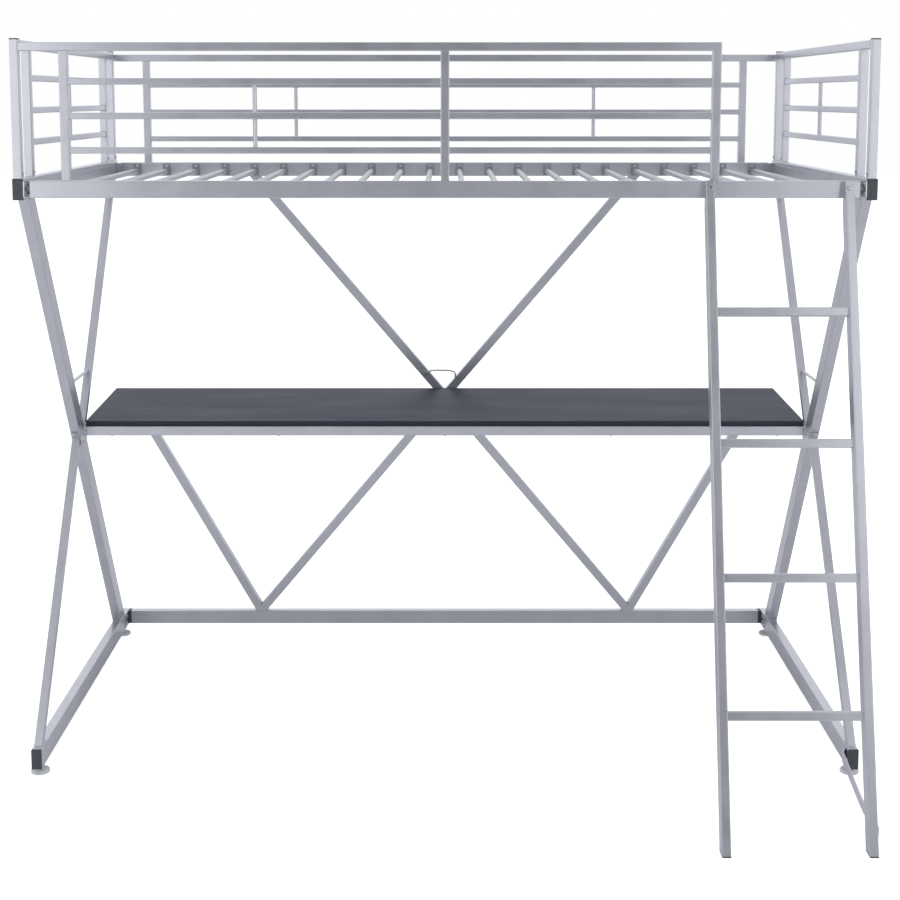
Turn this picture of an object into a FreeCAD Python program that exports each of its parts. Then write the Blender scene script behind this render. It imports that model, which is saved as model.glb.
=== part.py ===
import FreeCAD, Part
import math
import os

from FreeCAD import Vector

# Loft bed with desk, millimetres. +X runs to the right along the bed, -Y is the side with the
# ladder, +Z is up. The pieces are placed about the middle of the bed frame, and the finished
# model is moved back so that the origin is under the middle of its whole footprint.

# ---- overall sizes ----
FRAME_LENGTH = 2000.0          # outer faces of the two end frames
FRAME_DEPTH = 1060.0           # end bars, plug to plug
DECK_TOP = 1448.0              # top of the upper end bars
PANEL_HEIGHT = 318.0           # corner posts above the upper end bars
DESK_TOP = 767.0               # working surface
LADDER_REACH = 405.0           # ladder feet in front of the end bars
FLOOR_GAP = 20.0               # underside of the lower end bars

# ---- end frames ----
BAR_WIDTH = 25.0
BAR_HEIGHT = 50.0
BAR_WALL = 1.5
DIAGONAL_TOP_INSET = 75.0      # front bar end to the diagonal's centreline, at the upper bar
DIAGONAL_FOOT_INSET = 90.0     # rear bar end to the diagonal's centreline, at the lower bar
STRUT_SIZE = 20.0
STRUT_INSET = 28.5             # bar end to the strut's centreline
LOWER_STRUT_AIM = 10.7         # where each strut's line meets the diagonal, from mid height
UPPER_STRUT_AIM = -21.4
STRUT_PLATE = 3.0
STRUT_PLATE_OUTER = 14.0       # plate beyond the strut, on the bolt's side
STRUT_PLATE_INNER = 14.0       # and on the other side, on the bar
STRUT_PLATE_TAIL = 3.5         # and on the diagonal
STRUT_BOLT_PLACE = 0.6         # share of the outer part of the plate, on the diagonal
STRUT_BOLT_LENGTH = 10.0
TIE_ROD_RADIUS = 4.0
TIE_ROD_RISE = 152.0           # above mid height
PLUG_FLANGE = 3.0
PLUG_TONGUE = 14.0
PLUG_CLEARANCE = 0.2

# ---- posts and end panels ----
POST_SIZE = 20.0
POST_WALL = 1.2
POST_SETBACK = 2.5             # post face behind the bar end
SPIGOT_HEIGHT = 30.0
SPIGOT_WALL = 2.0
SPIGOT_CLEARANCE = 0.2
POST_BOLT_RISE = 11.0
POST_BOLT_LENGTH = 6.0
INNER_POST_SPACING = 834.0
PANEL_RAIL_SIZE = 15.0
PANEL_RAIL_COUNT = 3
PANEL_RAIL_DROP = 86.0         # top of the posts to the first rail
PANEL_RAIL_PITCH = 75.5
SPINDLE_RADIUS = 5.0

# ---- deck ----
SIDE_RAIL_DEPTH = 25.0
SIDE_RAIL_HEIGHT = 40.0
SIDE_RAIL_DROP = 5.0           # below the top of the upper end bars
SIDE_RAIL_GAP = 16.0           # rail end to end bar
BRACKET_THICKNESS = 3.0
BRACKET_LEG = 47.0
BRACKET_MARGIN = 2.0
BRACKET_BOLT_PLACES = (0.55, 0.85)
BRACKET_BOLT_LENGTH = 8.0
SLAT_COUNT = 22
SLAT_RADIUS = 8.0
SLAT_WALL = 1.0
SLAT_END_GAP = 64.5            # end bar to the first slat
SLAT_DROP = 25.0               # slat centre below the top of the side rail
CLIP_WIDTH = 23.0
CLIP_THICKNESS = 3.0
CLIP_REACH = 15.0
CLIP_WALL = 3.0
CLIP_MARGIN = 3.0
CLIP_FIT = 0.15
CLIP_SCREW_LENGTH = 7.0
LEDGE_LEG = 30.0
LEDGE_THICKNESS = 3.0
LEDGE_DROP = 41.0              # underside of the ledge below the upper bar's top
LEDGE_CLEARANCE = 5.0

# ---- guards ----
GUARD_SIZE = 20.0
GUARD_DROP = 6.0               # guard top below the post top
GUARD_RAIL_SIZE = 15.0
GUARD_RAIL_COUNT = 3
GUARD_RAIL_DROP = 89.0         # guard top to the first rail
GUARD_RAIL_PITCH = 79.0
FRONT_UPRIGHT_INSET = 111.5
REAR_UPRIGHT_INSET = 107.5
ENTRY_WIDTH = 343.5            # guard end post to the corner post, over the ladder

# ---- desk ----
DESK_THICKNESS = 14.0
DESK_RAIL_SIZE = 25.0
DESK_RAIL_OFFSET = 24.4        # front rail's centre behind the diagonal's centreline
DESK_EDGE_SETBACK = 5.0        # board edge behind the front rail's face
DESK_REAR_BEARING = 12.0       # board on the rear rail
DESK_SIDE_GAP = 5.0            # board to the diagonals, at the front edge
DESK_REAR_WIDENING = 17.0      # how much further each side reaches at the rear edge
DESK_CORNER = 4.0
DESK_BRACKET_HEIGHT = 53.0
DESK_BRACKET_FRONT = 32.0      # bracket in front of the rail
DESK_BRACKET_REAR = 3.0
DESK_BRACKET_CHAMFER = 15.0
DESK_BOLT_PLACES = (0.25, 0.75)
DESK_BOLT_SLANT = 8.0          # the bolts follow the lean of the diagonal
DESK_SCREW_END = 75.0          # first screw from the diagonals
DESK_SCREW_COUNT = 5
DESK_SCREW_BITE = 10.0
DESK_SCREW_REAR_SHIFT = 6.0    # rear screws in front of the rail's centreline

# ---- rear bracing ----
BRACE_SIZE = 25.0
BRACE_WALL = 1.2
BRACE_SPREAD = 563.0
BRACE_ARM_INSET = 47.0         # outer arm top from the frame's outer face
STRETCHER_HEIGHT = 40.0
STRETCHER_TOP = 70.0
STRETCHER_CAP = 10.0
STRETCHER_PLATE_DEPTH = 60.0
STRETCHER_BOLT_PLACE = 0.77
APEX_BOLT_X = 10.0
WIRE_RADIUS = 2.5
WIRE_EYE_RISE = 68.0           # eye of the wire hook above the desk rail's middle
WIRE_ROUTE = ((-48.0, 75.0), (-10.0, 79.0), (20.0, 77.0), (30.0, 72.0), (32.0, 64.0),
              (31.0, 51.0))    # the wire after its eye: from the middle, and above the rail
WIRE_EYE_RADIUS = 6.0

# ---- ladder ----
LADDER_INSET = 57.5            # right stile's centre from the end bar's centre
LADDER_SPACING = 320.0
STILE_WIDTH = 20.0
STILE_DEPTH = 37.0
STILE_WALL = 1.2
STILE_RISE = 2.0               # stile top above the side rail
STILE_TOP_DEPTH = 18.0         # what is left of the stile in front of the rail
RUNG_COUNT = 4
RUNG_SIZE = 20.0
RUNG_OFFSET = 4.0
LADDER_BOLT_RISE = 5.0         # above the middle of the side rail
LADDER_BOLT_LENGTH = 32.0
STAY_THICKNESS = 3.0
STAY_HEIGHT = 25.0
STAY_LIFT = 37.0
STAY_TAB = 40.0
STAY_OVERLAP = 15.0            # end of the stay behind the foot's centre
STAY_SETBACK = 4.0             # end of the stay behind the stile's front face
STAY_JOG = 9.5                 # first bend, towards the ladder
STAY_LEAD = 2.5                # last bend, before the stile

# ---- feet ----
FOOT_INSET = 35.0              # from the bar end
PAD_RADIUS = 23.0
PAD_THICKNESS = 8.0
PAD_HUB_RADIUS = 8.0
PAD_HUB_HEIGHT = 2.0
PAD_EDGE = 2.5
SCREW_RADIUS = 4.0
SCREW_SEAT = 3.0
SCREW_TOP = 44.0
SCREW_FIT = 0.05
INSERT_FLANGE_RADIUS = 8.0
INSERT_FLANGE = 1.5
INSERT_RADIUS = 6.0
INSERT_DEPTH = 14.0
INSERT_OVERRUN = 0.5           # cutting depth past each side of the bar's wall

# ---- shared details ----
TUBE_CORNER = 2.0
TUBE_INNER_CORNER = 0.3        # smallest inside corner
TUBE_WALL = 1.2
TONGUE_CORNER = 1.0
BOLT_CLEARANCE = 0.2
SMALL_BOLT = {"head": 4.5, "height": 2.5, "shank": 2.5}
LARGE_BOLT = {"head": 6.0, "height": 3.5, "shank": 3.0}
BOLT_DOME = 0.45               # share of the head's height that is rounded
SOCKET_SIZE = 0.45             # share of the head's radius
SOCKET_FLOOR = 0.45            # share of the head's height

# ---- places worked out from the sizes ----
X = Vector(1, 0, 0)
Y = Vector(0, 1, 0)
Z = Vector(0, 0, 1)
SIDES = {"left": -1, "right": 1}
ENDS = {"front": -1, "rear": 1}

BAR_X = FRAME_LENGTH / 2 - BAR_WIDTH / 2
BAR_INNER_X = FRAME_LENGTH / 2 - BAR_WIDTH
BAR_END_Y = FRAME_DEPTH / 2 - PLUG_FLANGE
LOWER_BAR_TOP = FLOOR_GAP + BAR_HEIGHT
UPPER_BAR_BOTTOM = DECK_TOP - BAR_HEIGHT
MID_HEIGHT = (LOWER_BAR_TOP + UPPER_BAR_BOTTOM) / 2
SIDE_Y = FRAME_DEPTH / 2 - POST_SETBACK - POST_SIZE / 2
POST_TOP = DECK_TOP + PANEL_HEIGHT
INNER_POST_Y = INNER_POST_SPACING / 2
RAIL_TOP = DECK_TOP - SIDE_RAIL_DROP
RAIL_BOTTOM = RAIL_TOP - SIDE_RAIL_HEIGHT
RAIL_INNER_Y = SIDE_Y - SIDE_RAIL_DEPTH / 2
RAIL_OUTER_Y = SIDE_Y + SIDE_RAIL_DEPTH / 2
RAIL_END_X = BAR_INNER_X - SIDE_RAIL_GAP
SLAT_Z = RAIL_TOP - SLAT_DROP
SLAT_END_X = BAR_INNER_X - SLAT_END_GAP
SLAT_END_Y = RAIL_INNER_Y - CLIP_THICKNESS
GUARD_TOP = POST_TOP - GUARD_DROP
GUARD_UNDER = GUARD_TOP - GUARD_SIZE
POST_INNER_X = BAR_X - POST_SIZE / 2
GUARD_END_X = POST_INNER_X - ENTRY_WIDTH
DESK_UNDER = DESK_TOP - DESK_THICKNESS
DESK_RAIL_Z = DESK_UNDER - DESK_RAIL_SIZE / 2
BRACE_Y = SIDE_Y
BRACE_FRONT_Y = BRACE_Y - BRACE_SIZE / 2
DESK_REAR_RAIL_Y = BRACE_FRONT_Y - DESK_RAIL_SIZE / 2
BRACE_ARM_X = FRAME_LENGTH / 2 - BRACE_ARM_INSET
STRETCHER_Z = STRETCHER_TOP - STRETCHER_HEIGHT / 2
STRETCHER_END_X = BAR_INNER_X - BRACKET_THICKNESS - STRETCHER_CAP
STILE_RIGHT_X = BAR_X - LADDER_INSET
STILE_LEFT_X = STILE_RIGHT_X - LADDER_SPACING
STILE_TOP = RAIL_TOP + STILE_RISE
STILE_FOOT_Y = -FRAME_DEPTH / 2 - LADDER_REACH
STILE_HEAD_Y = -RAIL_OUTER_Y - STILE_TOP_DEPTH
STILE_LEAN = (STILE_HEAD_Y - STILE_FOOT_Y) / STILE_TOP
STILE_SECTION = STILE_DEPTH * math.hypot(1, STILE_LEAN)
RUNG_PITCH = RAIL_TOP / (RUNG_COUNT + 1)
FOOT_Y = FRAME_DEPTH / 2 - FOOT_INSET
REAR_END_Y = BRACE_Y + BRACE_SIZE / 2 + SMALL_BOLT["height"]
ORIGIN_Y = (REAR_END_Y + STILE_FOOT_Y) / 2


# ---- building blocks ----
def rounded_loop(centre, u, v, width, height, corner):
    """Closed rectangle with round corners, centred in the plane of u and v."""
    along = width / 2 - corner
    across = height / 2 - corner
    edges = []
    last = None
    first = None
    for index, (su, sv) in enumerate(((1, 1), (-1, 1), (-1, -1), (1, -1))):
        middle = centre + u * (su * along) + v * (sv * across)
        turn = index * math.pi / 2
        points = []
        for step in (0, math.pi / 4, math.pi / 2):
            angle = turn + step
            points.append(middle + u * (corner * math.cos(angle)) + v * (corner * math.sin(angle)))
        if last is not None:
            edges.append(Part.makeLine(last, points[0]))
        else:
            first = points[0]
        edges.append(Part.Arc(*points).toShape())
        last = points[2]
    edges.append(Part.makeLine(last, first))
    return Part.Wire(edges)


def tube(start, end, u, v, size_u, size_v, wall=TUBE_WALL, corner=TUBE_CORNER):
    """Straight tube whose end faces lie in the plane of u and v; it may lean along v.

    The sizes are square to the tube, so a leaning tube has a longer end face. A wall of None
    gives a solid bar.
    """
    run = end - start
    normal = u.cross(v)
    slant = run.Length / abs(run.dot(normal))
    loops = [rounded_loop(start, u, v, size_u, size_v * slant, corner)]
    if wall is not None:
        inner_corner = max(corner - wall, TUBE_INNER_CORNER)
        loops.append(rounded_loop(start, u, v, size_u - 2 * wall,
                                  (size_v - 2 * wall) * slant, inner_corner))
    return Part.makeFace(loops, "Part::FaceMakerBullseye").extrude(run)


def plug(seat, outward, u, v, size_u, size_v, wall=TUBE_WALL, corner=TUBE_CORNER):
    """Moulded cap on a tube end: a flange outside and a tongue pushed into the tube."""
    slim = 2 * (wall + PLUG_CLEARANCE)
    flange = tube(seat, seat + outward * PLUG_FLANGE, u, v, size_u, size_v, None, corner)
    rims = [edge for edge in flange.Edges
            if abs((edge.CenterOfMass - seat).dot(outward) - PLUG_FLANGE) < 1e-6]
    flange = flange.makeChamfer(PLUG_FLANGE / 4, rims)
    tongue = tube(seat - outward * PLUG_TONGUE, seat, u, v, size_u - slim, size_v - slim, None,
                  TONGUE_CORNER)
    return flange.fuse(tongue).removeSplitter().Solids[0]


def round_tube(start, end, radius, wall=None):
    """Round tube, or a round bar where the wall is None."""
    run = end - start
    outer = Part.makeCylinder(radius, run.Length, start, run)
    if wall is None:
        return outer
    return outer.cut(Part.makeCylinder(radius - wall, run.Length, start, run)).Solids[0]


def plate(points, thickness):
    """Flat plate: a closed outline raised by the vector thickness."""
    return Part.Face(Part.makePolygon(points + points[:1])).extrude(thickness)


def block(x_range, y_range, z_range):
    """Plain block between three pairs of limits."""
    low = Vector(min(x_range), min(y_range), min(z_range))
    high = Vector(max(x_range), max(y_range), max(z_range))
    size = high - low
    return Part.makeBox(size.x, size.y, size.z, low)


def bent_strip(points, thickness, height):
    """Flat bar on edge, bent to follow a route of points at one level."""
    sides = ([], [])
    for index, point in enumerate(points):
        before = (point - points[index - 1]).normalize() if index else None
        after = (points[index + 1] - point).normalize() if index + 1 < len(points) else None
        heading = (before or after) + (after or before)
        across = Z.cross(heading.normalize())
        square = Z.cross(after or before)
        reach = thickness / 2 / across.dot(square)
        sides[0].append(point + across * reach)
        sides[1].append(point - across * reach)
    return plate(sides[0] + sides[1][::-1], Z * height)


def bolt(seat, outward, kind, length):
    """Domed socket screw: the head stands on seat, and the shank goes in against outward."""
    head = Part.makeCylinder(kind["head"], kind["height"], seat, outward)
    rim = [edge for edge in head.Edges
           if abs((edge.CenterOfMass - seat).dot(outward) - kind["height"]) < 1e-6]
    head = head.makeFillet(kind["height"] * BOLT_DOME, rim)
    aside = outward.cross(X if abs(outward.dot(X)) < 0.9 else Y).normalize()
    other = outward.cross(aside)
    floor = seat + outward * (kind["height"] * SOCKET_FLOOR)
    ring = []
    for corner in range(6):
        angle = corner * math.pi / 3
        offset = aside * math.cos(angle) + other * math.sin(angle)
        ring.append(floor + offset * (kind["head"] * SOCKET_SIZE))
    socket = plate(ring, outward * kind["height"])
    shank = Part.makeCylinder(kind["shank"], length, seat - outward * length, outward)
    return head.cut(socket).fuse(shank).removeSplitter().Solids[0]


class Model:
    """Named sub-parts, each a list of solids, and the holes still to be drilled in them."""

    def __init__(self):
        self.nodes = {}
        self.holes = {}

    def add(self, name, *solids):
        self.nodes.setdefault(name, []).extend(solids)

    def fasten(self, group, seat, outward, kind, length, through):
        """Add a screw to its group and note its hole in every sub-part it goes through."""
        self.add(group, bolt(seat, outward, kind, length))
        depth = length + BOLT_CLEARANCE
        radius = kind["shank"] + BOLT_CLEARANCE
        hole = Part.makeCylinder(radius, depth, seat - outward * depth, outward)
        for name in through:
            self.holes.setdefault(name, []).append(hole)

    def drill(self):
        for name, holes in self.holes.items():
            drilled = []
            for solid in self.nodes[name]:
                near = [hole for hole in holes if hole.BoundBox.intersect(solid.BoundBox)]
                drilled.append(solid.cut(near).Solids[0] if near else solid)
            self.nodes[name] = drilled

    def export(self, shift):
        for name, solids in self.nodes.items():
            shape = Part.makeCompound(solids) if len(solids) > 1 else solids[0]
            shape.translate(shift)
            shape.exportStep("parts/" + name + ".step")


# ---- lines of the end frames ----
def diagonal_y(z):
    """Depth of the diagonal's centreline at a height."""
    top = -FRAME_DEPTH / 2 + DIAGONAL_TOP_INSET
    foot = FRAME_DEPTH / 2 - DIAGONAL_FOOT_INSET
    return top + (foot - top) * (UPPER_BAR_BOTTOM - z) / (UPPER_BAR_BOTTOM - LOWER_BAR_TOP)


DIAGONAL_LEAN = diagonal_y(0) - diagonal_y(1)
DIAGONAL_HALF = BAR_HEIGHT / 2 * math.hypot(1, DIAGONAL_LEAN)


class Strut:
    """Line of one light strut, from its bar towards the diagonal's centreline."""

    def __init__(self, direction):
        aim = LOWER_STRUT_AIM if direction > 0 else UPPER_STRUT_AIM
        self.direction = direction
        self.bar_z = LOWER_BAR_TOP if direction > 0 else UPPER_BAR_BOTTOM
        self.bar_y = -direction * (FRAME_DEPTH / 2 - STRUT_INSET)
        self.aim_z = MID_HEIGHT + aim
        self.lean = (diagonal_y(self.aim_z) - self.bar_y) / (self.aim_z - self.bar_z)
        self.half = STRUT_SIZE / 2 * math.hypot(1, self.lean)

    def y(self, z):
        return self.bar_y + self.lean * (z - self.bar_z)

    def meets_diagonal(self, offset):
        """Height where the strut's line, moved by offset in depth, meets the diagonal's face."""
        face = -self.direction * DIAGONAL_HALF
        rise = self.bar_y + offset - self.lean * self.bar_z
        fall = diagonal_y(0) + face
        return (fall - rise) / (self.lean + DIAGONAL_LEAN)


# ---- sub-assemblies ----
def add_end_bars(model, side_name, side):
    x = side * BAR_X
    levels = {"top": UPPER_BAR_BOTTOM + BAR_HEIGHT / 2, "bottom": FLOOR_GAP + BAR_HEIGHT / 2}
    for level, z in levels.items():
        model.add(f"{side_name}_{level}_bar",
                  tube(Vector(x, -BAR_END_Y, z), Vector(x, BAR_END_Y, z),
                       X, Z, BAR_WIDTH, BAR_HEIGHT, BAR_WALL))
        for end in ENDS.values():
            model.add("tube_plugs", plug(Vector(x, end * BAR_END_Y, z), Y * end, X, Z,
                                         BAR_WIDTH, BAR_HEIGHT, BAR_WALL))
    model.add(f"{side_name}_diagonal",
              tube(Vector(x, diagonal_y(LOWER_BAR_TOP), LOWER_BAR_TOP),
                   Vector(x, diagonal_y(UPPER_BAR_BOTTOM), UPPER_BAR_BOTTOM),
                   X, Y, BAR_WIDTH, BAR_HEIGHT, BAR_WALL))


def add_strut(model, side_name, side, direction):
    """One light strut with the plate and bolt at each of its ends."""
    strut = Strut(direction)
    x = side * BAR_X
    half_x = STRUT_SIZE / 2
    seat_z = strut.bar_z + direction * STRUT_PLATE
    body = tube(Vector(x, strut.y(seat_z), seat_z), Vector(x, strut.y(strut.aim_z), strut.aim_z),
                X, Y, STRUT_SIZE, STRUT_SIZE)
    slant = math.hypot(1, DIAGONAL_LEAN)
    lift = direction * (DIAGONAL_HALF + STRUT_PLATE * slant)
    low, high = LOWER_BAR_TOP, UPPER_BAR_BOTTOM
    keep_clear = plate([Vector(x - BAR_WIDTH, diagonal_y(low) - lift, low),
                        Vector(x - BAR_WIDTH, diagonal_y(high) - lift, high),
                        Vector(x - BAR_WIDTH, diagonal_y(high) + lift, high),
                        Vector(x - BAR_WIDTH, diagonal_y(low) + lift, low)], X * (2 * BAR_WIDTH))
    model.add("light_struts", body.cut(keep_clear).Solids[0])

    outer_edge = strut.bar_y - direction * (strut.half + STRUT_PLATE_OUTER)
    inner_edge = strut.bar_y + direction * (strut.half + STRUT_PLATE_INNER)
    bar_plate = block((x - half_x, x + half_x), (outer_edge, inner_edge), (strut.bar_z, seat_z))
    bar_bolt_y = strut.bar_y - direction * (strut.half + STRUT_PLATE_OUTER / 2)
    bar_name = side_name + ("_bottom_bar" if direction > 0 else "_top_bar")
    model.add("strut_plates", bar_plate)
    model.fasten("frame_bolts", Vector(x, bar_bolt_y, seat_z), Z * direction, SMALL_BOLT,
                 STRUT_BOLT_LENGTH, [bar_name, "strut_plates", "tube_plugs"])

    near = strut.meets_diagonal(-direction * strut.half)
    far = strut.meets_diagonal(direction * strut.half)
    top_z = near + direction * STRUT_PLATE_OUTER
    low_z = far - direction * STRUT_PLATE_TAIL
    face = -direction * DIAGONAL_HALF
    skin = -direction * STRUT_PLATE * slant
    face_plate = plate([Vector(x - half_x, diagonal_y(low_z) + face, low_z),
                        Vector(x - half_x, diagonal_y(top_z) + face, top_z),
                        Vector(x - half_x, diagonal_y(top_z) + face + skin, top_z),
                        Vector(x - half_x, diagonal_y(low_z) + face + skin, low_z)],
                       X * STRUT_SIZE)
    model.add("strut_plates", face_plate)
    outward = Vector(0, -direction, -direction * DIAGONAL_LEAN).normalize()
    bolt_z = near + direction * (STRUT_PLATE_OUTER * STRUT_BOLT_PLACE)
    seat = Vector(x, diagonal_y(bolt_z) + face, bolt_z) + outward * STRUT_PLATE
    model.fasten("frame_bolts", seat, outward, SMALL_BOLT, STRUT_BOLT_LENGTH,
                 [f"{side_name}_diagonal", "strut_plates"])


def add_tie_rod(model, side):
    """Rod from the diagonal's rear face to the upper strut's front face."""
    strut = Strut(-1)
    z = MID_HEIGHT + TIE_ROD_RISE
    x = side * BAR_X
    reach = TIE_ROD_RADIUS
    rod = round_tube(Vector(x, diagonal_y(z), z), Vector(x, strut.y(z), z), TIE_ROD_RADIUS)
    low, high = z - 2 * reach, z + 2 * reach
    outline = [Vector(x - reach, diagonal_y(low) + DIAGONAL_HALF, low),
               Vector(x - reach, strut.y(low) - strut.half, low),
               Vector(x - reach, strut.y(high) - strut.half, high),
               Vector(x - reach, diagonal_y(high) + DIAGONAL_HALF, high)]
    model.add("tie_rods", rod.common(plate(outline, X * (2 * reach))).Solids[0])


def add_post(model, name, x, y, top, outward):
    """Square post on a spigot welded to the upper bar, held by one screw."""
    start = Vector(x, y, DECK_TOP)
    model.add(name, tube(start, Vector(x, y, top), X, Y, POST_SIZE, POST_SIZE, POST_WALL))
    spigot_size = POST_SIZE - 2 * (POST_WALL + SPIGOT_CLEARANCE)
    model.add("post_spigots", tube(start, start + Z * SPIGOT_HEIGHT, X, Y, spigot_size,
                                   spigot_size, SPIGOT_WALL, TONGUE_CORNER))
    model.fasten("frame_bolts", start + Z * POST_BOLT_RISE + outward * (POST_SIZE / 2), outward,
                 SMALL_BOLT, POST_BOLT_LENGTH, [name, "post_spigots"])


def add_end_panel(model, side_name, side):
    x = side * BAR_X
    for end_name, end in ENDS.items():
        name = f"{end_name}_{side_name}_post"
        add_post(model, name, x, end * SIDE_Y, POST_TOP, X * -side)
        model.add("post_caps", plug(Vector(x, end * SIDE_Y, POST_TOP), Z, X, Y,
                                    POST_SIZE, POST_SIZE, POST_WALL))
        add_post(model, "end_panel_posts", x, end * INNER_POST_Y, POST_TOP - POST_SIZE,
                 X * -side)
    rail_y = SIDE_Y - POST_SIZE / 2
    rail_z = POST_TOP - POST_SIZE / 2
    model.add("end_panel_top_rails", tube(Vector(x, -rail_y, rail_z), Vector(x, rail_y, rail_z),
                                          X, Z, POST_SIZE, POST_SIZE))
    heights = [POST_TOP - PANEL_RAIL_DROP - k * PANEL_RAIL_PITCH for k in range(PANEL_RAIL_COUNT)]
    inner_y = INNER_POST_Y - POST_SIZE / 2
    for z in heights:
        model.add("end_panel_rails", tube(Vector(x, -inner_y, z), Vector(x, inner_y, z),
                                          X, Z, PANEL_RAIL_SIZE, PANEL_RAIL_SIZE))
    add_spindles(model, x, 0.0, heights, PANEL_RAIL_SIZE)


def add_spindles(model, x, y, heights, rail_size):
    """Thin round bars from each rail to the next one down."""
    for upper, lower in zip(heights, heights[1:]):
        model.add("guard_spindles", round_tube(Vector(x, y, lower + rail_size / 2),
                                               Vector(x, y, upper - rail_size / 2),
                                               SPINDLE_RADIUS))


def add_side_rail(model, end_name, end):
    name = f"{end_name}_side_rail"
    y = end * SIDE_Y
    z = (RAIL_TOP + RAIL_BOTTOM) / 2
    model.add(name, tube(Vector(-RAIL_END_X, y, z), Vector(RAIL_END_X, y, z),
                         Y, Z, SIDE_RAIL_DEPTH, SIDE_RAIL_HEIGHT))
    face = end * RAIL_INNER_Y
    inner_face = face - end * BRACKET_THICKNESS
    heights = (RAIL_BOTTOM + BRACKET_MARGIN, RAIL_TOP - BRACKET_MARGIN)
    for side_name, side in SIDES.items():
        wall = side * BAR_INNER_X
        leg = block((wall - side * BRACKET_LEG, wall), (inner_face, face), heights)
        back = block((wall - side * BRACKET_THICKNESS, wall),
                     (inner_face, end * RAIL_OUTER_Y), heights)
        model.add("side_rail_brackets", leg.fuse(back).removeSplitter().Solids[0])
        for offset in BRACKET_BOLT_PLACES:
            seat = Vector(wall - side * BRACKET_LEG * offset, inner_face, z)
            model.fasten("frame_bolts", seat, Y * -end, SMALL_BOLT, BRACKET_BOLT_LENGTH,
                         [name, "side_rail_brackets"])
        for level in (-1, 1):
            seat = Vector(wall - side * BRACKET_THICKNESS, y, z + level * SIDE_RAIL_HEIGHT / 4)
            model.fasten("frame_bolts", seat, X * -side, SMALL_BOLT, BRACKET_BOLT_LENGTH,
                         [f"{side_name}_top_bar", "side_rail_brackets", "tube_plugs"])


def add_clip(model, x, end):
    """Cradle screwed to the side rail's inner face, holding one end of a slat."""
    face = end * RAIL_INNER_Y
    inner = end * SLAT_END_Y
    pad = block((x - CLIP_WIDTH / 2, x + CLIP_WIDTH / 2), (face, inner),
                (RAIL_BOTTOM + CLIP_MARGIN, RAIL_TOP - CLIP_MARGIN))
    bore = SLAT_RADIUS + CLIP_FIT
    start = Vector(x, inner, SLAT_Z)
    ring = Part.makeCylinder(bore + CLIP_WALL, CLIP_REACH, start, Y * -end)
    ring = ring.cut(Part.makeCylinder(bore, CLIP_REACH, start, Y * -end))
    reach = bore + CLIP_WALL
    lower_half = block((x - reach, x + reach), (inner, inner - end * CLIP_REACH),
                       (SLAT_Z - reach, SLAT_Z))
    model.add("slat_clips", pad.fuse(ring.common(lower_half)).removeSplitter().Solids[0])
    end_name = "front" if end < 0 else "rear"
    screw_z = (SLAT_Z + SLAT_RADIUS + RAIL_TOP - CLIP_MARGIN) / 2
    model.fasten("slat_screws", Vector(x, inner, screw_z), Y * -end, SMALL_BOLT,
                 CLIP_SCREW_LENGTH, ["slat_clips", f"{end_name}_side_rail"])


def add_slats(model):
    pitch = 2 * SLAT_END_X / (SLAT_COUNT - 1)
    for index in range(SLAT_COUNT):
        x = -SLAT_END_X + index * pitch
        model.add("slats", round_tube(Vector(x, -SLAT_END_Y, SLAT_Z), Vector(x, SLAT_END_Y, SLAT_Z),
                                      SLAT_RADIUS, SLAT_WALL))
        for end in ENDS.values():
            add_clip(model, x, end)


def add_ledges(model):
    """Angle strip along each upper bar, under the ends of the mattress."""
    reach = RAIL_INNER_Y - LEDGE_CLEARANCE
    under = DECK_TOP - LEDGE_DROP
    for side in SIDES.values():
        wall = side * BAR_INNER_X
        flange = block((wall - side * LEDGE_LEG, wall), (-reach, reach),
                       (under, under + LEDGE_THICKNESS))
        web = block((wall - side * LEDGE_THICKNESS, wall), (-reach, reach),
                    (under, under + LEDGE_LEG))
        model.add("deck_ledges", flange.fuse(web).removeSplitter().Solids[0])


def mitre(x, sign):
    """Wedge on one side of the 45 degree joint between guard top rail and end post."""
    size = GUARD_SIZE
    tip = Vector(x - size, -SIDE_Y - size, GUARD_UNDER) - (X + Z) * size
    tail = Vector(x, -SIDE_Y - size, GUARD_TOP) + (X + Z) * size
    corner = Vector(tip.x, tip.y, tail.z) if sign > 0 else Vector(tail.x, tip.y, tip.z)
    return plate([tip, tail, corner], Y * (2 * size))


def guard_heights():
    return [GUARD_TOP - GUARD_RAIL_DROP - k * GUARD_RAIL_PITCH for k in range(GUARD_RAIL_COUNT)]


def add_guard_uprights(model, name, places, y):
    for x in places:
        model.add(name, tube(Vector(x, y, RAIL_TOP), Vector(x, y, GUARD_UNDER),
                             X, Y, GUARD_SIZE, GUARD_SIZE))


def add_guard_rails(model, name, places, y):
    """Rails from each upright to the next."""
    for z in guard_heights():
        for left, right in zip(places, places[1:]):
            model.add(name, tube(Vector(left + GUARD_SIZE / 2, y, z),
                                 Vector(right - GUARD_SIZE / 2, y, z),
                                 Y, Z, GUARD_RAIL_SIZE, GUARD_RAIL_SIZE))


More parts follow.
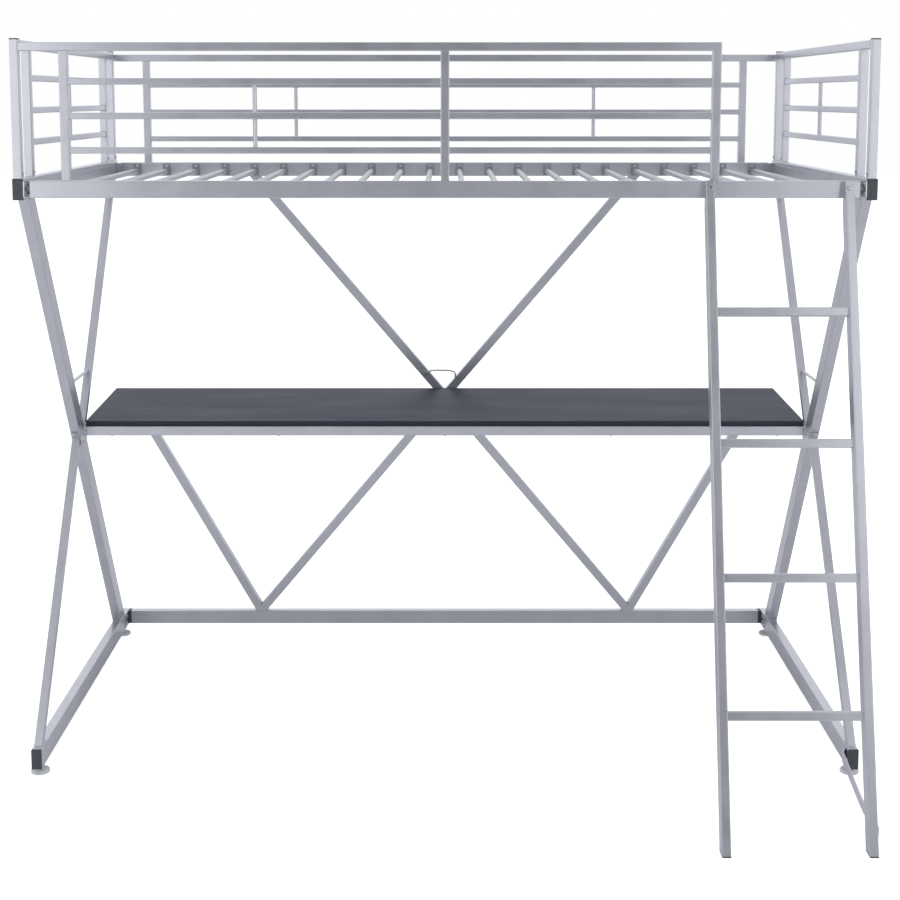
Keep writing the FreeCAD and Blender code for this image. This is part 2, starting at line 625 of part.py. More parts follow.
def add_front_guard(model):
    y = -SIDE_Y
    z = GUARD_TOP - GUARD_SIZE / 2
    top_rail = tube(Vector(-POST_INNER_X, y, z), Vector(GUARD_END_X, y, z),
                    Y, Z, GUARD_SIZE, GUARD_SIZE)
    end_x = GUARD_END_X - GUARD_SIZE / 2
    end_post = tube(Vector(end_x, y, RAIL_TOP), Vector(end_x, y, GUARD_TOP),
                    X, Y, GUARD_SIZE, GUARD_SIZE)
    model.add("front_guard_top_rail", top_rail.cut(mitre(GUARD_END_X, -1)).Solids[0])
    model.add("front_guard_end_post", end_post.cut(mitre(GUARD_END_X, 1)).Solids[0])
    left_x = FRONT_UPRIGHT_INSET - BAR_X
    add_guard_uprights(model, "front_guard_uprights", [left_x, 0.0], y)
    add_guard_rails(model, "front_guard_rails", [left_x, 0.0, end_x], y)
    add_spindles(model, left_x / 2, y, guard_heights(), GUARD_RAIL_SIZE)


def add_rear_guard(model):
    y = SIDE_Y
    z = GUARD_TOP - GUARD_SIZE / 2
    model.add("rear_guard_top_rail", tube(Vector(-POST_INNER_X, y, z), Vector(POST_INNER_X, y, z),
                                          Y, Z, GUARD_SIZE, GUARD_SIZE))
    end_x = BAR_X - REAR_UPRIGHT_INSET
    places = [-end_x, 0.0, end_x]
    add_guard_uprights(model, "rear_guard_uprights", places, y)
    add_guard_rails(model, "rear_guard_rails", places, y)
    for side in SIDES.values():
        add_spindles(model, side * end_x / 2, y, guard_heights(), GUARD_RAIL_SIZE)


def desk_front_rail_y():
    return diagonal_y(DESK_RAIL_Z) + DESK_RAIL_OFFSET


def add_desk_top(model):
    """Board that passes between the end frames and widens a little towards the rear."""
    front = desk_front_rail_y() - DESK_RAIL_SIZE / 2 + DESK_EDGE_SETBACK
    rear = DESK_REAR_RAIL_Y - DESK_RAIL_SIZE / 2 + DESK_REAR_BEARING
    narrow = BAR_INNER_X - DESK_SIDE_GAP
    wide = narrow + DESK_REAR_WIDENING
    outline = [(narrow, front), (wide, rear), (-wide, rear), (-narrow, front)]
    board = plate([Vector(x, y, DESK_UNDER) for x, y in outline], Z * DESK_THICKNESS)
    upright = [edge for edge in board.Edges if abs(edge.tangentAt(edge.FirstParameter).z) > 0.9]
    board = board.makeFillet(DESK_CORNER, upright)
    model.add("desk_top", board)


def add_desk_rails(model):
    front_y = desk_front_rail_y()
    front_end = BAR_INNER_X - BRACKET_THICKNESS
    model.add("desk_front_rail", tube(Vector(-front_end, front_y, DESK_RAIL_Z),
                                      Vector(front_end, front_y, DESK_RAIL_Z),
                                      Y, Z, DESK_RAIL_SIZE, DESK_RAIL_SIZE))
    rear_end = BRACE_ARM_X + BRACE_SIZE / 2
    model.add("desk_rear_rail", tube(Vector(-rear_end, DESK_REAR_RAIL_Y, DESK_RAIL_Z),
                                     Vector(rear_end, DESK_REAR_RAIL_Y, DESK_RAIL_Z),
                                     Y, Z, DESK_RAIL_SIZE, DESK_RAIL_SIZE))
    for side in SIDES.values():
        model.add("tube_plugs", plug(Vector(side * rear_end, DESK_REAR_RAIL_Y, DESK_RAIL_Z),
                                     X * side, Y, Z, DESK_RAIL_SIZE, DESK_RAIL_SIZE))
    under = DESK_UNDER - DESK_RAIL_SIZE
    last_screw = BAR_INNER_X - DESK_SCREW_END
    rear_screw_y = DESK_REAR_RAIL_Y - DESK_SCREW_REAR_SHIFT
    for index in range(DESK_SCREW_COUNT):
        x = -last_screw + 2 * last_screw * index / (DESK_SCREW_COUNT - 1)
        for name, y in (("desk_front_rail", front_y), ("desk_rear_rail", rear_screw_y)):
            model.fasten("desk_screws", Vector(x, y, under), -Z, SMALL_BOLT,
                         DESK_RAIL_SIZE + DESK_SCREW_BITE, [name, "desk_top"])


def add_desk_bracket(model, side_name, side):
    """Plate on the diagonal's inner face that carries one end of the front rail."""
    wall = side * BAR_INNER_X
    face = wall - side * BRACKET_THICKNESS
    rail_front = desk_front_rail_y() - DESK_RAIL_SIZE / 2
    front = rail_front - DESK_BRACKET_FRONT
    rear = rail_front + DESK_RAIL_SIZE + DESK_BRACKET_REAR
    low = DESK_UNDER - DESK_BRACKET_HEIGHT
    cut = DESK_BRACKET_CHAMFER
    outline = [(front, DESK_UNDER), (rear, DESK_UNDER), (rear, low + cut), (rear - cut, low),
               (front + cut, low), (front, low + cut)]
    model.add("desk_brackets", plate([Vector(face, y, z) for y, z in outline],
                                     X * (side * BRACKET_THICKNESS)))
    for drop in DESK_BOLT_PLACES:
        seat = Vector(face, rail_front - DESK_BRACKET_FRONT / 2 + drop * DESK_BOLT_SLANT,
                      DESK_UNDER - drop * DESK_BRACKET_HEIGHT)
        model.fasten("frame_bolts", seat, X * -side, SMALL_BOLT, BRACKET_BOLT_LENGTH,
                     ["desk_brackets", f"{side_name}_diagonal"])


def brace(foot, head):
    """Square brace in the rear plane, cut level at both ends."""
    return tube(foot, head, Y, X, BRACE_SIZE, BRACE_SIZE, BRACE_WALL)


def trimmed(shape, x, sign):
    """The part of a brace on one side of an upright plane at x."""
    reach = 2 * BRACE_SIZE
    box = shape.BoundBox
    return shape.cut(block((x, x - sign * box.XLength),
                           (box.YMin - reach, box.YMax + reach),
                           (box.ZMin - reach, box.ZMax + reach))).Solids[0]


def add_bracing(model):
    for side in SIDES.values():
        apex = Vector(0, BRACE_Y, DESK_RAIL_Z)
        spread = side * BRACE_SPREAD
        upper = brace(apex, Vector(spread, BRACE_Y, RAIL_BOTTOM))
        inner = brace(Vector(spread, BRACE_Y, STRETCHER_TOP), apex)
        outer = brace(Vector(spread, BRACE_Y, STRETCHER_TOP),
                      Vector(side * BRACE_ARM_X, BRACE_Y, DESK_UNDER))
        model.add("upper_braces", trimmed(upper, 0.0, side))
        model.add("lower_braces", trimmed(trimmed(inner, 0.0, side), spread, -side),
                  trimmed(outer, spread, side))
        rear_face = BRACE_Y + BRACE_SIZE / 2
        length = BRACE_SIZE + DESK_RAIL_SIZE / 2
        arm_lean = (BRACE_ARM_X - BRACE_SPREAD) / (DESK_UNDER - STRETCHER_TOP)
        arm_x = side * (BRACE_ARM_X - arm_lean * DESK_RAIL_SIZE / 2)
        model.fasten("frame_bolts", Vector(arm_x, rear_face, DESK_RAIL_Z), Y, SMALL_BOLT, length,
                     ["lower_braces", "desk_rear_rail", "tube_plugs"])
        for level, name in ((1, "upper_braces"), (-1, "lower_braces")):
            seat = Vector(side * APEX_BOLT_X, rear_face, DESK_RAIL_Z + level * BRACE_SIZE / 3)
            model.fasten("frame_bolts", seat, Y, SMALL_BOLT, length, [name, "desk_rear_rail"])


def add_stretcher(model):
    """Low rear rail with a moulded spacer and a plate at each end."""
    y = BRACE_Y
    model.add("rear_stretcher", tube(Vector(-STRETCHER_END_X, y, STRETCHER_Z),
                                     Vector(STRETCHER_END_X, y, STRETCHER_Z),
                                     Y, Z, BRACE_SIZE, STRETCHER_HEIGHT, BRACE_WALL))
    rear = y + BRACE_SIZE / 2
    for side_name, side in SIDES.items():
        wall = side * BAR_INNER_X
        face = wall - side * BRACKET_THICKNESS
        start = Vector(side * STRETCHER_END_X, y, STRETCHER_Z)
        spacer = tube(start, start + X * (side * STRETCHER_CAP), Y, Z, BRACE_SIZE,
                      STRETCHER_HEIGHT, None)
        slim = 2 * (BRACE_WALL + PLUG_CLEARANCE)
        tongue = tube(start, start - X * (side * PLUG_TONGUE), Y, Z, BRACE_SIZE - slim,
                      STRETCHER_HEIGHT - slim, None, TONGUE_CORNER)
        model.add("stretcher_spacers", spacer.fuse(tongue).removeSplitter().Solids[0])
        model.add("stretcher_plates", block((face, wall), (rear - STRETCHER_PLATE_DEPTH, rear),
                                            (STRETCHER_TOP - STRETCHER_HEIGHT, STRETCHER_TOP)))
        for level in (-1, 1):
            seat = Vector(face, rear - STRETCHER_PLATE_DEPTH * STRETCHER_BOLT_PLACE,
                          STRETCHER_Z + level * STRETCHER_HEIGHT / 4)
            model.fasten("frame_bolts", seat, X * -side, SMALL_BOLT, BRACKET_BOLT_LENGTH,
                         ["stretcher_plates", f"{side_name}_bottom_bar"])


def add_wire_hook(model):
    """Bent wire on the rear braces: an eye on the left brace and a hook on the right one."""
    y = BRACE_FRONT_Y - WIRE_RADIUS
    lean = BRACE_SPREAD / (RAIL_BOTTOM - DESK_RAIL_Z)
    eye = Vector(-lean * WIRE_EYE_RISE, y, DESK_RAIL_Z + WIRE_EYE_RISE)
    route = [eye] + [Vector(x, y, DESK_RAIL_Z + rise) for x, rise in WIRE_ROUTE]
    line = Part.BSplineCurve()
    line.interpolate(route)
    heading = line.tangent(line.FirstParameter)[0]
    ring = Part.Wire(Part.makeCircle(WIRE_RADIUS, eye, heading))
    wire = Part.Wire(line.toShape()).makePipeShell([ring], True, False)
    disc = Part.makeCylinder(WIRE_EYE_RADIUS, WIRE_RADIUS * 2, eye - Y * WIRE_RADIUS, Y)
    model.add("wire_hook", wire.fuse(disc).removeSplitter().Solids[0])


def stile_front_y(z):
    return STILE_FOOT_Y + STILE_LEAN * z


def stile_centre(x, z):
    return Vector(x, stile_front_y(z) + STILE_SECTION / 2, z)


def add_ladder(model):
    outward = Vector(0, -1, STILE_LEAN).normalize()
    up = Vector(0, STILE_LEAN, 1).normalize()
    rail_face = -RAIL_OUTER_Y
    for name, x in (("ladder_left_stile", STILE_LEFT_X), ("ladder_right_stile", STILE_RIGHT_X)):
        stile = tube(stile_centre(x, PLUG_FLANGE), stile_centre(x, STILE_TOP), X, Y,
                     STILE_WIDTH, STILE_DEPTH, STILE_WALL)
        beyond = block((x - STILE_WIDTH, x + STILE_WIDTH), (rail_face, 0), (0, 2 * STILE_TOP))
        model.add(name, stile.cut(beyond).Solids[0])
        seat_z = (RAIL_TOP + RAIL_BOTTOM) / 2 + LADDER_BOLT_RISE
        seat = Vector(x, stile_front_y(seat_z), seat_z)
        model.fasten("frame_bolts", seat, outward, LARGE_BOLT, LADDER_BOLT_LENGTH,
                     [name, "front_side_rail"])

        flange = tube(stile_centre(x, 0), stile_centre(x, PLUG_FLANGE), X, Y,
                      STILE_WIDTH, STILE_DEPTH, None)
        slim = 2 * (STILE_WALL + PLUG_CLEARANCE)
        tongue = tube(stile_centre(x, PLUG_FLANGE), stile_centre(x, PLUG_FLANGE + PLUG_TONGUE),
                      X, Y, STILE_WIDTH - slim, STILE_DEPTH - slim, None, TONGUE_CORNER)
        model.add("ladder_foot_plugs", flange.fuse(tongue).removeSplitter().Solids[0])
    for index in range(RUNG_COUNT):
        z = RUNG_OFFSET + (index + 1) * RUNG_PITCH - RUNG_SIZE / 2
        model.add("ladder_rungs", tube(stile_centre(STILE_LEFT_X + STILE_WIDTH / 2, z),
                                       stile_centre(STILE_RIGHT_X - STILE_WIDTH / 2, z),
                                       outward, up, RUNG_SIZE, RUNG_SIZE))


def add_ladder_stay(model):
    """Flat bar that ties the right stile's foot to the right lower bar."""
    half = STAY_THICKNESS / 2
    at_bar = BAR_INNER_X - half
    at_stile = STILE_RIGHT_X + STILE_WIDTH / 2 + half
    bar_y = -FOOT_Y + STAY_OVERLAP
    middle = STAY_LIFT + STAY_HEIGHT / 2
    stile_y = stile_front_y(STAY_LIFT + STAY_HEIGHT) + STAY_SETBACK
    route = [Vector(at_bar, bar_y, STAY_LIFT),
             Vector(at_bar, bar_y - STAY_TAB / 2, STAY_LIFT),
             Vector(at_bar - STAY_JOG, bar_y - STAY_TAB, STAY_LIFT),
             Vector(at_stile + STAY_LEAD, stile_y + STILE_DEPTH + STAY_TAB * 3, STAY_LIFT),
             Vector(at_stile, stile_y + STILE_DEPTH + STAY_TAB * 2, STAY_LIFT),
             Vector(at_stile, stile_y, STAY_LIFT)]
    model.add("ladder_stay", bent_strip(route, STAY_THICKNESS, STAY_HEIGHT))
    seat = Vector(at_bar - half, bar_y - STAY_TAB / 5, middle)
    model.fasten("frame_bolts", seat, -X, SMALL_BOLT, BRACKET_BOLT_LENGTH,
                 ["ladder_stay", "right_bottom_bar"])
    seat = Vector(at_stile + half, stile_centre(0, middle).y, middle)
    model.fasten("frame_bolts", seat, X, SMALL_BOLT, BRACKET_BOLT_LENGTH,
                 ["ladder_stay", "ladder_right_stile"])


def add_foot(model, side_name, side, end_name, end):
    """Levelling foot: a soft pad on a screw that runs in an insert in the lower bar."""
    x = side * BAR_X
    y = end * FOOT_Y
    name = f"{end_name}_{side_name}_foot"
    pad = Part.makeCylinder(PAD_RADIUS, PAD_THICKNESS, Vector(x, y, 0))
    top_rim = [edge for edge in pad.Edges if abs(edge.CenterOfMass.z - PAD_THICKNESS) < 1e-6]
    pad = pad.makeFillet(PAD_EDGE, top_rim)
    hub_top = PAD_THICKNESS + PAD_HUB_HEIGHT
    pad = pad.fuse(Part.makeCylinder(PAD_HUB_RADIUS, hub_top, Vector(x, y, 0))).removeSplitter()
    pad = pad.cut(Part.makeCylinder(SCREW_RADIUS, hub_top, Vector(x, y, SCREW_SEAT)))
    model.add(name + "_pad", pad.Solids[0])
    screw = Part.makeCylinder(SCREW_RADIUS, SCREW_TOP - SCREW_SEAT, Vector(x, y, SCREW_SEAT))
    tip = [edge for edge in screw.Edges if abs(edge.CenterOfMass.z - SCREW_TOP) < 1e-6]
    model.add(name + "_screw", screw.makeChamfer(SCREW_RADIUS / 4, tip).Solids[0])

    flange_low = FLOOR_GAP - INSERT_FLANGE
    flange = Part.makeCylinder(INSERT_FLANGE_RADIUS, INSERT_FLANGE, Vector(x, y, flange_low))
    body = Part.makeCylinder(INSERT_RADIUS, INSERT_DEPTH, Vector(x, y, FLOOR_GAP))
    bore = Part.makeCylinder(SCREW_RADIUS + SCREW_FIT, INSERT_FLANGE + INSERT_DEPTH,
                             Vector(x, y, flange_low))
    model.add("foot_inserts", flange.fuse(body).cut(bore).removeSplitter().Solids[0])
    seat = Part.makeCylinder(INSERT_RADIUS, BAR_WALL + 2 * INSERT_OVERRUN,
                             Vector(x, y, FLOOR_GAP - INSERT_OVERRUN))
    model.holes.setdefault(f"{side_name}_bottom_bar", []).append(seat)


def main():
    os.makedirs("parts", exist_ok=True)
    model = Model()
    for side_name, side in SIDES.items():
        add_end_bars(model, side_name, side)
        for direction in (1, -1):
            add_strut(model, side_name, side, direction)
        add_tie_rod(model, side)
        add_end_panel(model, side_name, side)
        add_desk_bracket(model, side_name, side)
        for end_name, end in ENDS.items():
            add_foot(model, side_name, side, end_name, end)
    for end_name, end in ENDS.items():
        add_side_rail(model, end_name, end)
    add_slats(model)
    add_ledges(model)
    add_front_guard(model)
    add_rear_guard(model)
    add_desk_top(model)
    add_desk_rails(model)
    add_bracing(model)
    add_stretcher(model)
    add_wire_hook(model)
    add_ladder(model)
    add_ladder_stay(model)
    model.drill()
    model.export(Y * -ORIGIN_Y)


main()
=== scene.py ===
"""Looks of a loft bed with a desk: finishes, weld beads, desk board, feet, studio and camera.

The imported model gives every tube, rail and fastener its place. This file dresses those nodes,
and adds the pieces that need mesh work: weld beads, the desk's board and edge band, moulded
feet and threaded screws.
"""

from __future__ import annotations

import logging
import math
from collections.abc import Callable, Iterable
from dataclasses import dataclass
from enum import Enum
from typing import ClassVar

import bmesh
import bpy
from mathutils import Matrix, Vector


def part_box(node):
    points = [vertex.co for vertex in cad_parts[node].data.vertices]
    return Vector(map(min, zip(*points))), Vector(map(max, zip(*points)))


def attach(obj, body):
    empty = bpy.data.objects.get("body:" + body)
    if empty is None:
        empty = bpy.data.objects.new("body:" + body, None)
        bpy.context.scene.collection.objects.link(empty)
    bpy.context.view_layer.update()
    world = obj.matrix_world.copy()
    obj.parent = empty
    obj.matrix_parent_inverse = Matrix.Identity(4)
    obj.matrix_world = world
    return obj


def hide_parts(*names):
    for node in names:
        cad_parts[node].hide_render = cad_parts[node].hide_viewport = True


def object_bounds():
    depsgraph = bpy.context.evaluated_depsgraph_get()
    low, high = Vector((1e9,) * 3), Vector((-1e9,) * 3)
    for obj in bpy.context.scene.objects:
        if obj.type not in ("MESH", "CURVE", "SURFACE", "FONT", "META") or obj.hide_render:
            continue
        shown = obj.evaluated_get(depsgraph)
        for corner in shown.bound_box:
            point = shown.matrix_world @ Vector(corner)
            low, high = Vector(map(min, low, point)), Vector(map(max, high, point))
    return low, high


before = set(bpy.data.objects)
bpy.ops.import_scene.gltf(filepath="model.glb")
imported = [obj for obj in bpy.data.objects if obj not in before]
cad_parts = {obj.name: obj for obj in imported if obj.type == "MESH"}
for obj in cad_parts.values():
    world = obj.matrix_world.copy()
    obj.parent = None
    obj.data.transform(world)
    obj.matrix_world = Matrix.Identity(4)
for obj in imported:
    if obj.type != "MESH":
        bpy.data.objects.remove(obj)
CAD_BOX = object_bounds()

LOG = logging.getLogger("loft_bed")
FRAME_BODY = "frame"
RIGHT = Vector((1.0, 0.0, 0.0))
BACK = Vector((0.0, 1.0, 0.0))
UP = Vector((0.0, 0.0, 1.0))
Colour = tuple[float, float, float]

# Materials
SUBSURFACE_REACH = 0.004         # how far light spreads under a soft plastic
BLOTCH_DETAIL = 5.0
GRAIN_DETAIL = 3.0
GRAIN_IN_COLOUR = 0.35           # share of the grain in the blend of the two tones
TONE_STOPS = (0.30, 0.85)        # where the dark tone ends and the light one starts
BLOTCH_SPAN = (0.3, 0.7)         # noise values that the roughness range is laid over
BUMP_STRENGTH = 0.6

# Meshes
MERGE_DISTANCE = 1e-6
SORT_DIGITS = 4                  # places are compared to a tenth of a millimetre
FACE_TOLERANCE = 1e-5
SMOOTH_ANGLE = 35.0
TUBE_CORNER = 0.002
ROUND_BAR_FLAT = 1e-5            # flat left between the rounded corners of a round bar
SECTION_PASSES = 4               # rounds that settle the section of a leaning tube
MITRE_LIMIT = 0.5                # smallest cosine that an inset corner is moved by
AXIS_RADIUS = 0.0005             # hole left on the axis of a turned shape

# Thickness of weld beads
FRAME_BEAD = 0.0012
RAIL_BEAD = 0.0013
FLUSH_BEAD = 0.0007              # where both tubes are equally wide
LADDER_BEAD = 0.0015


# ---------------------------------------------------------------------------------------------
# Finishes
# ---------------------------------------------------------------------------------------------


class Slot(Enum):
    """Material slots of the record."""

    PAINT = "silver_paint"
    SLAT = "slat_metal"
    ZINC = "zinc_plate"
    BLACK_STEEL = "black_bolts"
    BLACK_PLASTIC = "black_plastic"
    GREY_PLASTIC = "grey_plastic"
    FOOT = "foot_plastic"
    BOARD = "desk_board"


class Pattern(Enum):
    """What a finish's fine grain looks like."""

    CLOUDS = "clouds"
    FLAKES = "flakes"
    STREAKS = "streaks"


@dataclass(frozen=True)
class Finish:
    """A surface finish: two close tones, a roughness range and a fine bump.

    Scales are in features per metre, and the bump depth is in metres.
    """

    name: str
    slot: Slot
    light: Colour
    dark: Colour
    metallic: float = 0.0
    roughness: tuple[float, float] = (0.4, 0.5)
    blotch_scale: float = 14.0
    grain_scale: float = 900.0
    grain_depth: float = 0.00004
    pattern: Pattern = Pattern.CLOUDS
    specular: float = 0.5
    subsurface: float = 0.0
    transmission: float = 0.0
    stretch: Colour = (1.0, 1.0, 1.0)

    def build(self) -> bpy.types.Material:
        """Make the material with its nodes.

        Returns:
            The finished material.
        """
        material = bpy.data.materials.new(self.name)
        material.use_nodes = True
        material.diffuse_color = (*self.light, 1.0)
        tree = material.node_tree
        shader = tree.nodes["Principled BSDF"]
        shader.inputs["Metallic"].default_value = self.metallic
        shader.inputs["Specular IOR Level"].default_value = self.specular
        shader.inputs["Subsurface Weight"].default_value = self.subsurface
        shader.inputs["Subsurface Scale"].default_value = SUBSURFACE_REACH
        shader.inputs["Transmission Weight"].default_value = self.transmission
        place = self._coordinates(tree)
        blotches = self._noise(tree, place, self.blotch_scale, BLOTCH_DETAIL)
        grain = self._grain(tree, place)
        self._colour(tree, blotches, grain, shader)
        self._roughness(tree, blotches, shader)
        self._bump(tree, grain, shader)
        return material

    def _coordinates(self, tree: bpy.types.NodeTree) -> bpy.types.NodeSocket:
        """Object coordinates in metres, stretched for a directional finish.

        Args:
            tree: The material's node tree.

        Returns:
            The socket that carries the coordinates.
        """
        source = tree.nodes.new("ShaderNodeTexCoord")
        mapping = tree.nodes.new("ShaderNodeMapping")
        mapping.inputs["Scale"].default_value = self.stretch
        tree.links.new(source.outputs["Object"], mapping.inputs["Vector"])
        return mapping.outputs["Vector"]

    @staticmethod
    def _noise(tree: bpy.types.NodeTree, place: bpy.types.NodeSocket, scale: float,
               detail: float) -> bpy.types.NodeSocket:
        """Noise at one scale.

        Args:
            tree: The material's node tree.
            place: Coordinates to sample at.
            scale: Features per metre.
            detail: Octaves of finer noise.

        Returns:
            The noise value socket.
        """
        noise = tree.nodes.new("ShaderNodeTexNoise")
        noise.inputs["Scale"].default_value = scale
        noise.inputs["Detail"].default_value = detail
        tree.links.new(place, noise.inputs["Vector"])
        return noise.outputs[0]

    def _grain(self, tree: bpy.types.NodeTree,
               place: bpy.types.NodeSocket) -> bpy.types.NodeSocket:
        """The fine grain: flakes for metallic paint, otherwise noise.

        Args:
            tree: The material's node tree.
            place: Coordinates to sample at.

        Returns:
            The grain value socket.
        """
        if self.pattern is not Pattern.FLAKES:
            return self._noise(tree, place, self.grain_scale, GRAIN_DETAIL)
        flakes = tree.nodes.new("ShaderNodeTexVoronoi")
        flakes.inputs["Scale"].default_value = self.grain_scale
        tree.links.new(place, flakes.inputs["Vector"])
        return flakes.outputs["Distance"]

    def _colour(self, tree: bpy.types.NodeTree, blotches: bpy.types.NodeSocket,
                grain: bpy.types.NodeSocket, shader: bpy.types.Node) -> None:
        """Blend the two tones by the broad blotches and a little of the grain.

        Args:
            tree: The material's node tree.
            blotches: Broad noise.
            grain: Fine noise.
            shader: The surface shader.
        """
        blend = tree.nodes.new("ShaderNodeMath")
        blend.operation = "MULTIPLY_ADD"
        blend.inputs[1].default_value = GRAIN_IN_COLOUR
        tree.links.new(grain, blend.inputs[0])
        tree.links.new(blotches, blend.inputs[2])
        ramp = tree.nodes.new("ShaderNodeValToRGB")
        stops = zip(ramp.color_ramp.elements, TONE_STOPS, (self.dark, self.light))
        for stop, position, tone in stops:
            stop.position = position
            stop.color = (*tone, 1.0)
        tree.links.new(blend.outputs[0], ramp.inputs["Fac"])
        tree.links.new(ramp.outputs["Color"], shader.inputs["Base Color"])

    def _roughness(self, tree: bpy.types.NodeTree, blotches: bpy.types.NodeSocket,
                   shader: bpy.types.Node) -> None:
        """Let the gloss drift across the surface.

        Args:
            tree: The material's node tree.
            blotches: Broad noise.
            shader: The surface shader.
        """
        spread = tree.nodes.new("ShaderNodeMapRange")
        ends = (*BLOTCH_SPAN, *self.roughness)
        for name, value in zip(("From Min", "From Max", "To Min", "To Max"), ends):
            spread.inputs[name].default_value = value
        tree.links.new(blotches, spread.inputs["Value"])
        tree.links.new(spread.outputs[0], shader.inputs["Roughness"])

    def _bump(self, tree: bpy.types.NodeTree, grain: bpy.types.NodeSocket,
              shader: bpy.types.Node) -> None:
        """Raise the grain a little.

        Args:
            tree: The material's node tree.
            grain: Fine noise.
            shader: The surface shader.
        """
        bump = tree.nodes.new("ShaderNodeBump")
        bump.inputs["Strength"].default_value = BUMP_STRENGTH
        bump.inputs["Distance"].default_value = self.grain_depth
        tree.links.new(grain, bump.inputs["Height"])
        tree.links.new(bump.outputs["Normal"], shader.inputs["Normal"])


class Palette:
    """Every finish of the bed, each built once."""

    finishes = (
        Finish("silver_powder_coat", Slot.PAINT, (0.61, 0.625, 0.67), (0.54, 0.555, 0.60),
               metallic=0.80, roughness=(0.29, 0.34), grain_scale=1600.0,
               grain_depth=0.000003, pattern=Pattern.FLAKES),
        Finish("slat_powder_coat", Slot.SLAT, (0.56, 0.57, 0.61), (0.49, 0.50, 0.54),
               metallic=0.80, roughness=(0.31, 0.37), grain_scale=1600.0,
               grain_depth=0.000003, pattern=Pattern.FLAKES),
        Finish("bright_zinc", Slot.ZINC, (0.66, 0.67, 0.69), (0.50, 0.51, 0.54),
               metallic=1.0, roughness=(0.24, 0.34), blotch_scale=60.0, grain_scale=420.0,
               grain_depth=0.000004, pattern=Pattern.STREAKS, stretch=(1.0, 1.0, 6.0)),
        Finish("black_oxide", Slot.BLACK_STEEL, (0.050, 0.052, 0.060), (0.028, 0.029, 0.034),
               metallic=0.6, roughness=(0.32, 0.44), blotch_scale=90.0, grain_scale=1200.0,
               grain_depth=0.00002),
        Finish("black_moulding", Slot.BLACK_PLASTIC, (0.070, 0.076, 0.092),
               (0.046, 0.051, 0.063), roughness=(0.42, 0.55), blotch_scale=70.0,
               grain_scale=1500.0, grain_depth=0.00005),
        Finish("grey_moulding", Slot.GREY_PLASTIC, (0.36, 0.37, 0.40), (0.26, 0.27, 0.30),
               roughness=(0.35, 0.45), blotch_scale=70.0, grain_scale=1500.0,
               grain_depth=0.00004),
        Finish("clear_foot_plastic", Slot.FOOT, (0.86, 0.88, 0.91), (0.72, 0.75, 0.80),
               roughness=(0.30, 0.42), blotch_scale=80.0, grain_scale=900.0,
               grain_depth=0.00003, subsurface=0.35, transmission=0.15),
        Finish("dark_laminate", Slot.BOARD, (0.042, 0.049, 0.071), (0.033, 0.039, 0.058),
               roughness=(0.40, 0.50), blotch_scale=9.0, grain_scale=700.0,
               grain_depth=0.00004, pattern=Pattern.STREAKS, specular=0.08,
               stretch=(0.25, 1.0, 1.0)),
    )

    def __init__(self) -> None:
        """Build the materials and index them by slot."""
        self.materials = {finish.slot: finish.build() for finish in self.finishes}

    def dress(self, slot: Slot, nodes: Iterable[str]) -> None:
        """Give CAD nodes a finish.

        Args:
            slot: The finish to use.
            nodes: Names of the nodes.
        """
        for name in nodes:
            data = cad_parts[name].data
            data.materials.clear()
            data.materials.append(self.materials[slot])
            LOG.info("dressed %s as %s", name, slot.value)


# ---------------------------------------------------------------------------------------------
# Mesh work
# ---------------------------------------------------------------------------------------------


@dataclass(frozen=True)
class Solid:
    """Box of one separate solid inside a node."""

    low: Vector
    high: Vector

    @property
    def centre(self) -> Vector:
        """Middle of the box."""
        return (self.low + self.high) / 2

    @property
    def size(self) -> Vector:
        """Edge lengths of the box."""
        return self.high - self.low


def solids_of(node: str) -> list[Solid]:
    """Find the boxes of a node's separate solids.

    Args:
        node: Name of a CAD node.

    Returns:
        One box per solid, in a fixed order.
    """
    work = bmesh.new()
    work.from_mesh(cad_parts[node].data)
    bmesh.ops.remove_doubles(work, verts=work.verts, dist=MERGE_DISTANCE)
    work.verts.ensure_lookup_table()
    seen: set[int] = set()
    found = []
    for start in work.verts:
        if start.index in seen:
            continue
        seen.add(start.index)
        queue = [start]
        low = start.co.copy()
        high = start.co.copy()
        while queue:
            vert = queue.pop()
            low = Vector(map(min, low, vert.co))
            high = Vector(map(max, high, vert.co))
            for edge in vert.link_edges:
                other = edge.other_vert(vert)
                if other.index not in seen:
                    seen.add(other.index)
                    queue.append(other)
        found.append(Solid(low, high))
    work.free()
    return sorted(found, key=lambda box: tuple(round(value, SORT_DIGITS) for value in box.centre))


def make_object(name: str, work: bmesh.types.BMesh, material: bpy.types.Material,
                body: str = FRAME_BODY,
                smooth: float = SMOOTH_ANGLE) -> bpy.types.Object:
    """Turn finished mesh work into a piece that rides on a body.

    Args:
        name: Name of the piece.
        work: The mesh, which is freed.
        material: Its material.
        body: The body that it rides on.
        smooth: Angle in degrees under which edges are shaded smooth.

    Returns:
        The new object.
    """
    bmesh.ops.recalc_face_normals(work, faces=work.faces)
    limit = math.radians(smooth)
    for face in work.faces:
        face.smooth = True
    for edge in work.edges:
        if len(edge.link_faces) == 2 and edge.calc_face_angle(0.0) > limit:
            edge.smooth = False
    data = bpy.data.meshes.new(name)
    work.to_mesh(data)
    work.free()
    data.materials.append(material)
    piece = bpy.data.objects.new(name, data)
    bpy.context.scene.collection.objects.link(piece)
    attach(piece, body)
    LOG.info("built %s: %d faces on %s", name, len(data.polygons), body)
    return piece


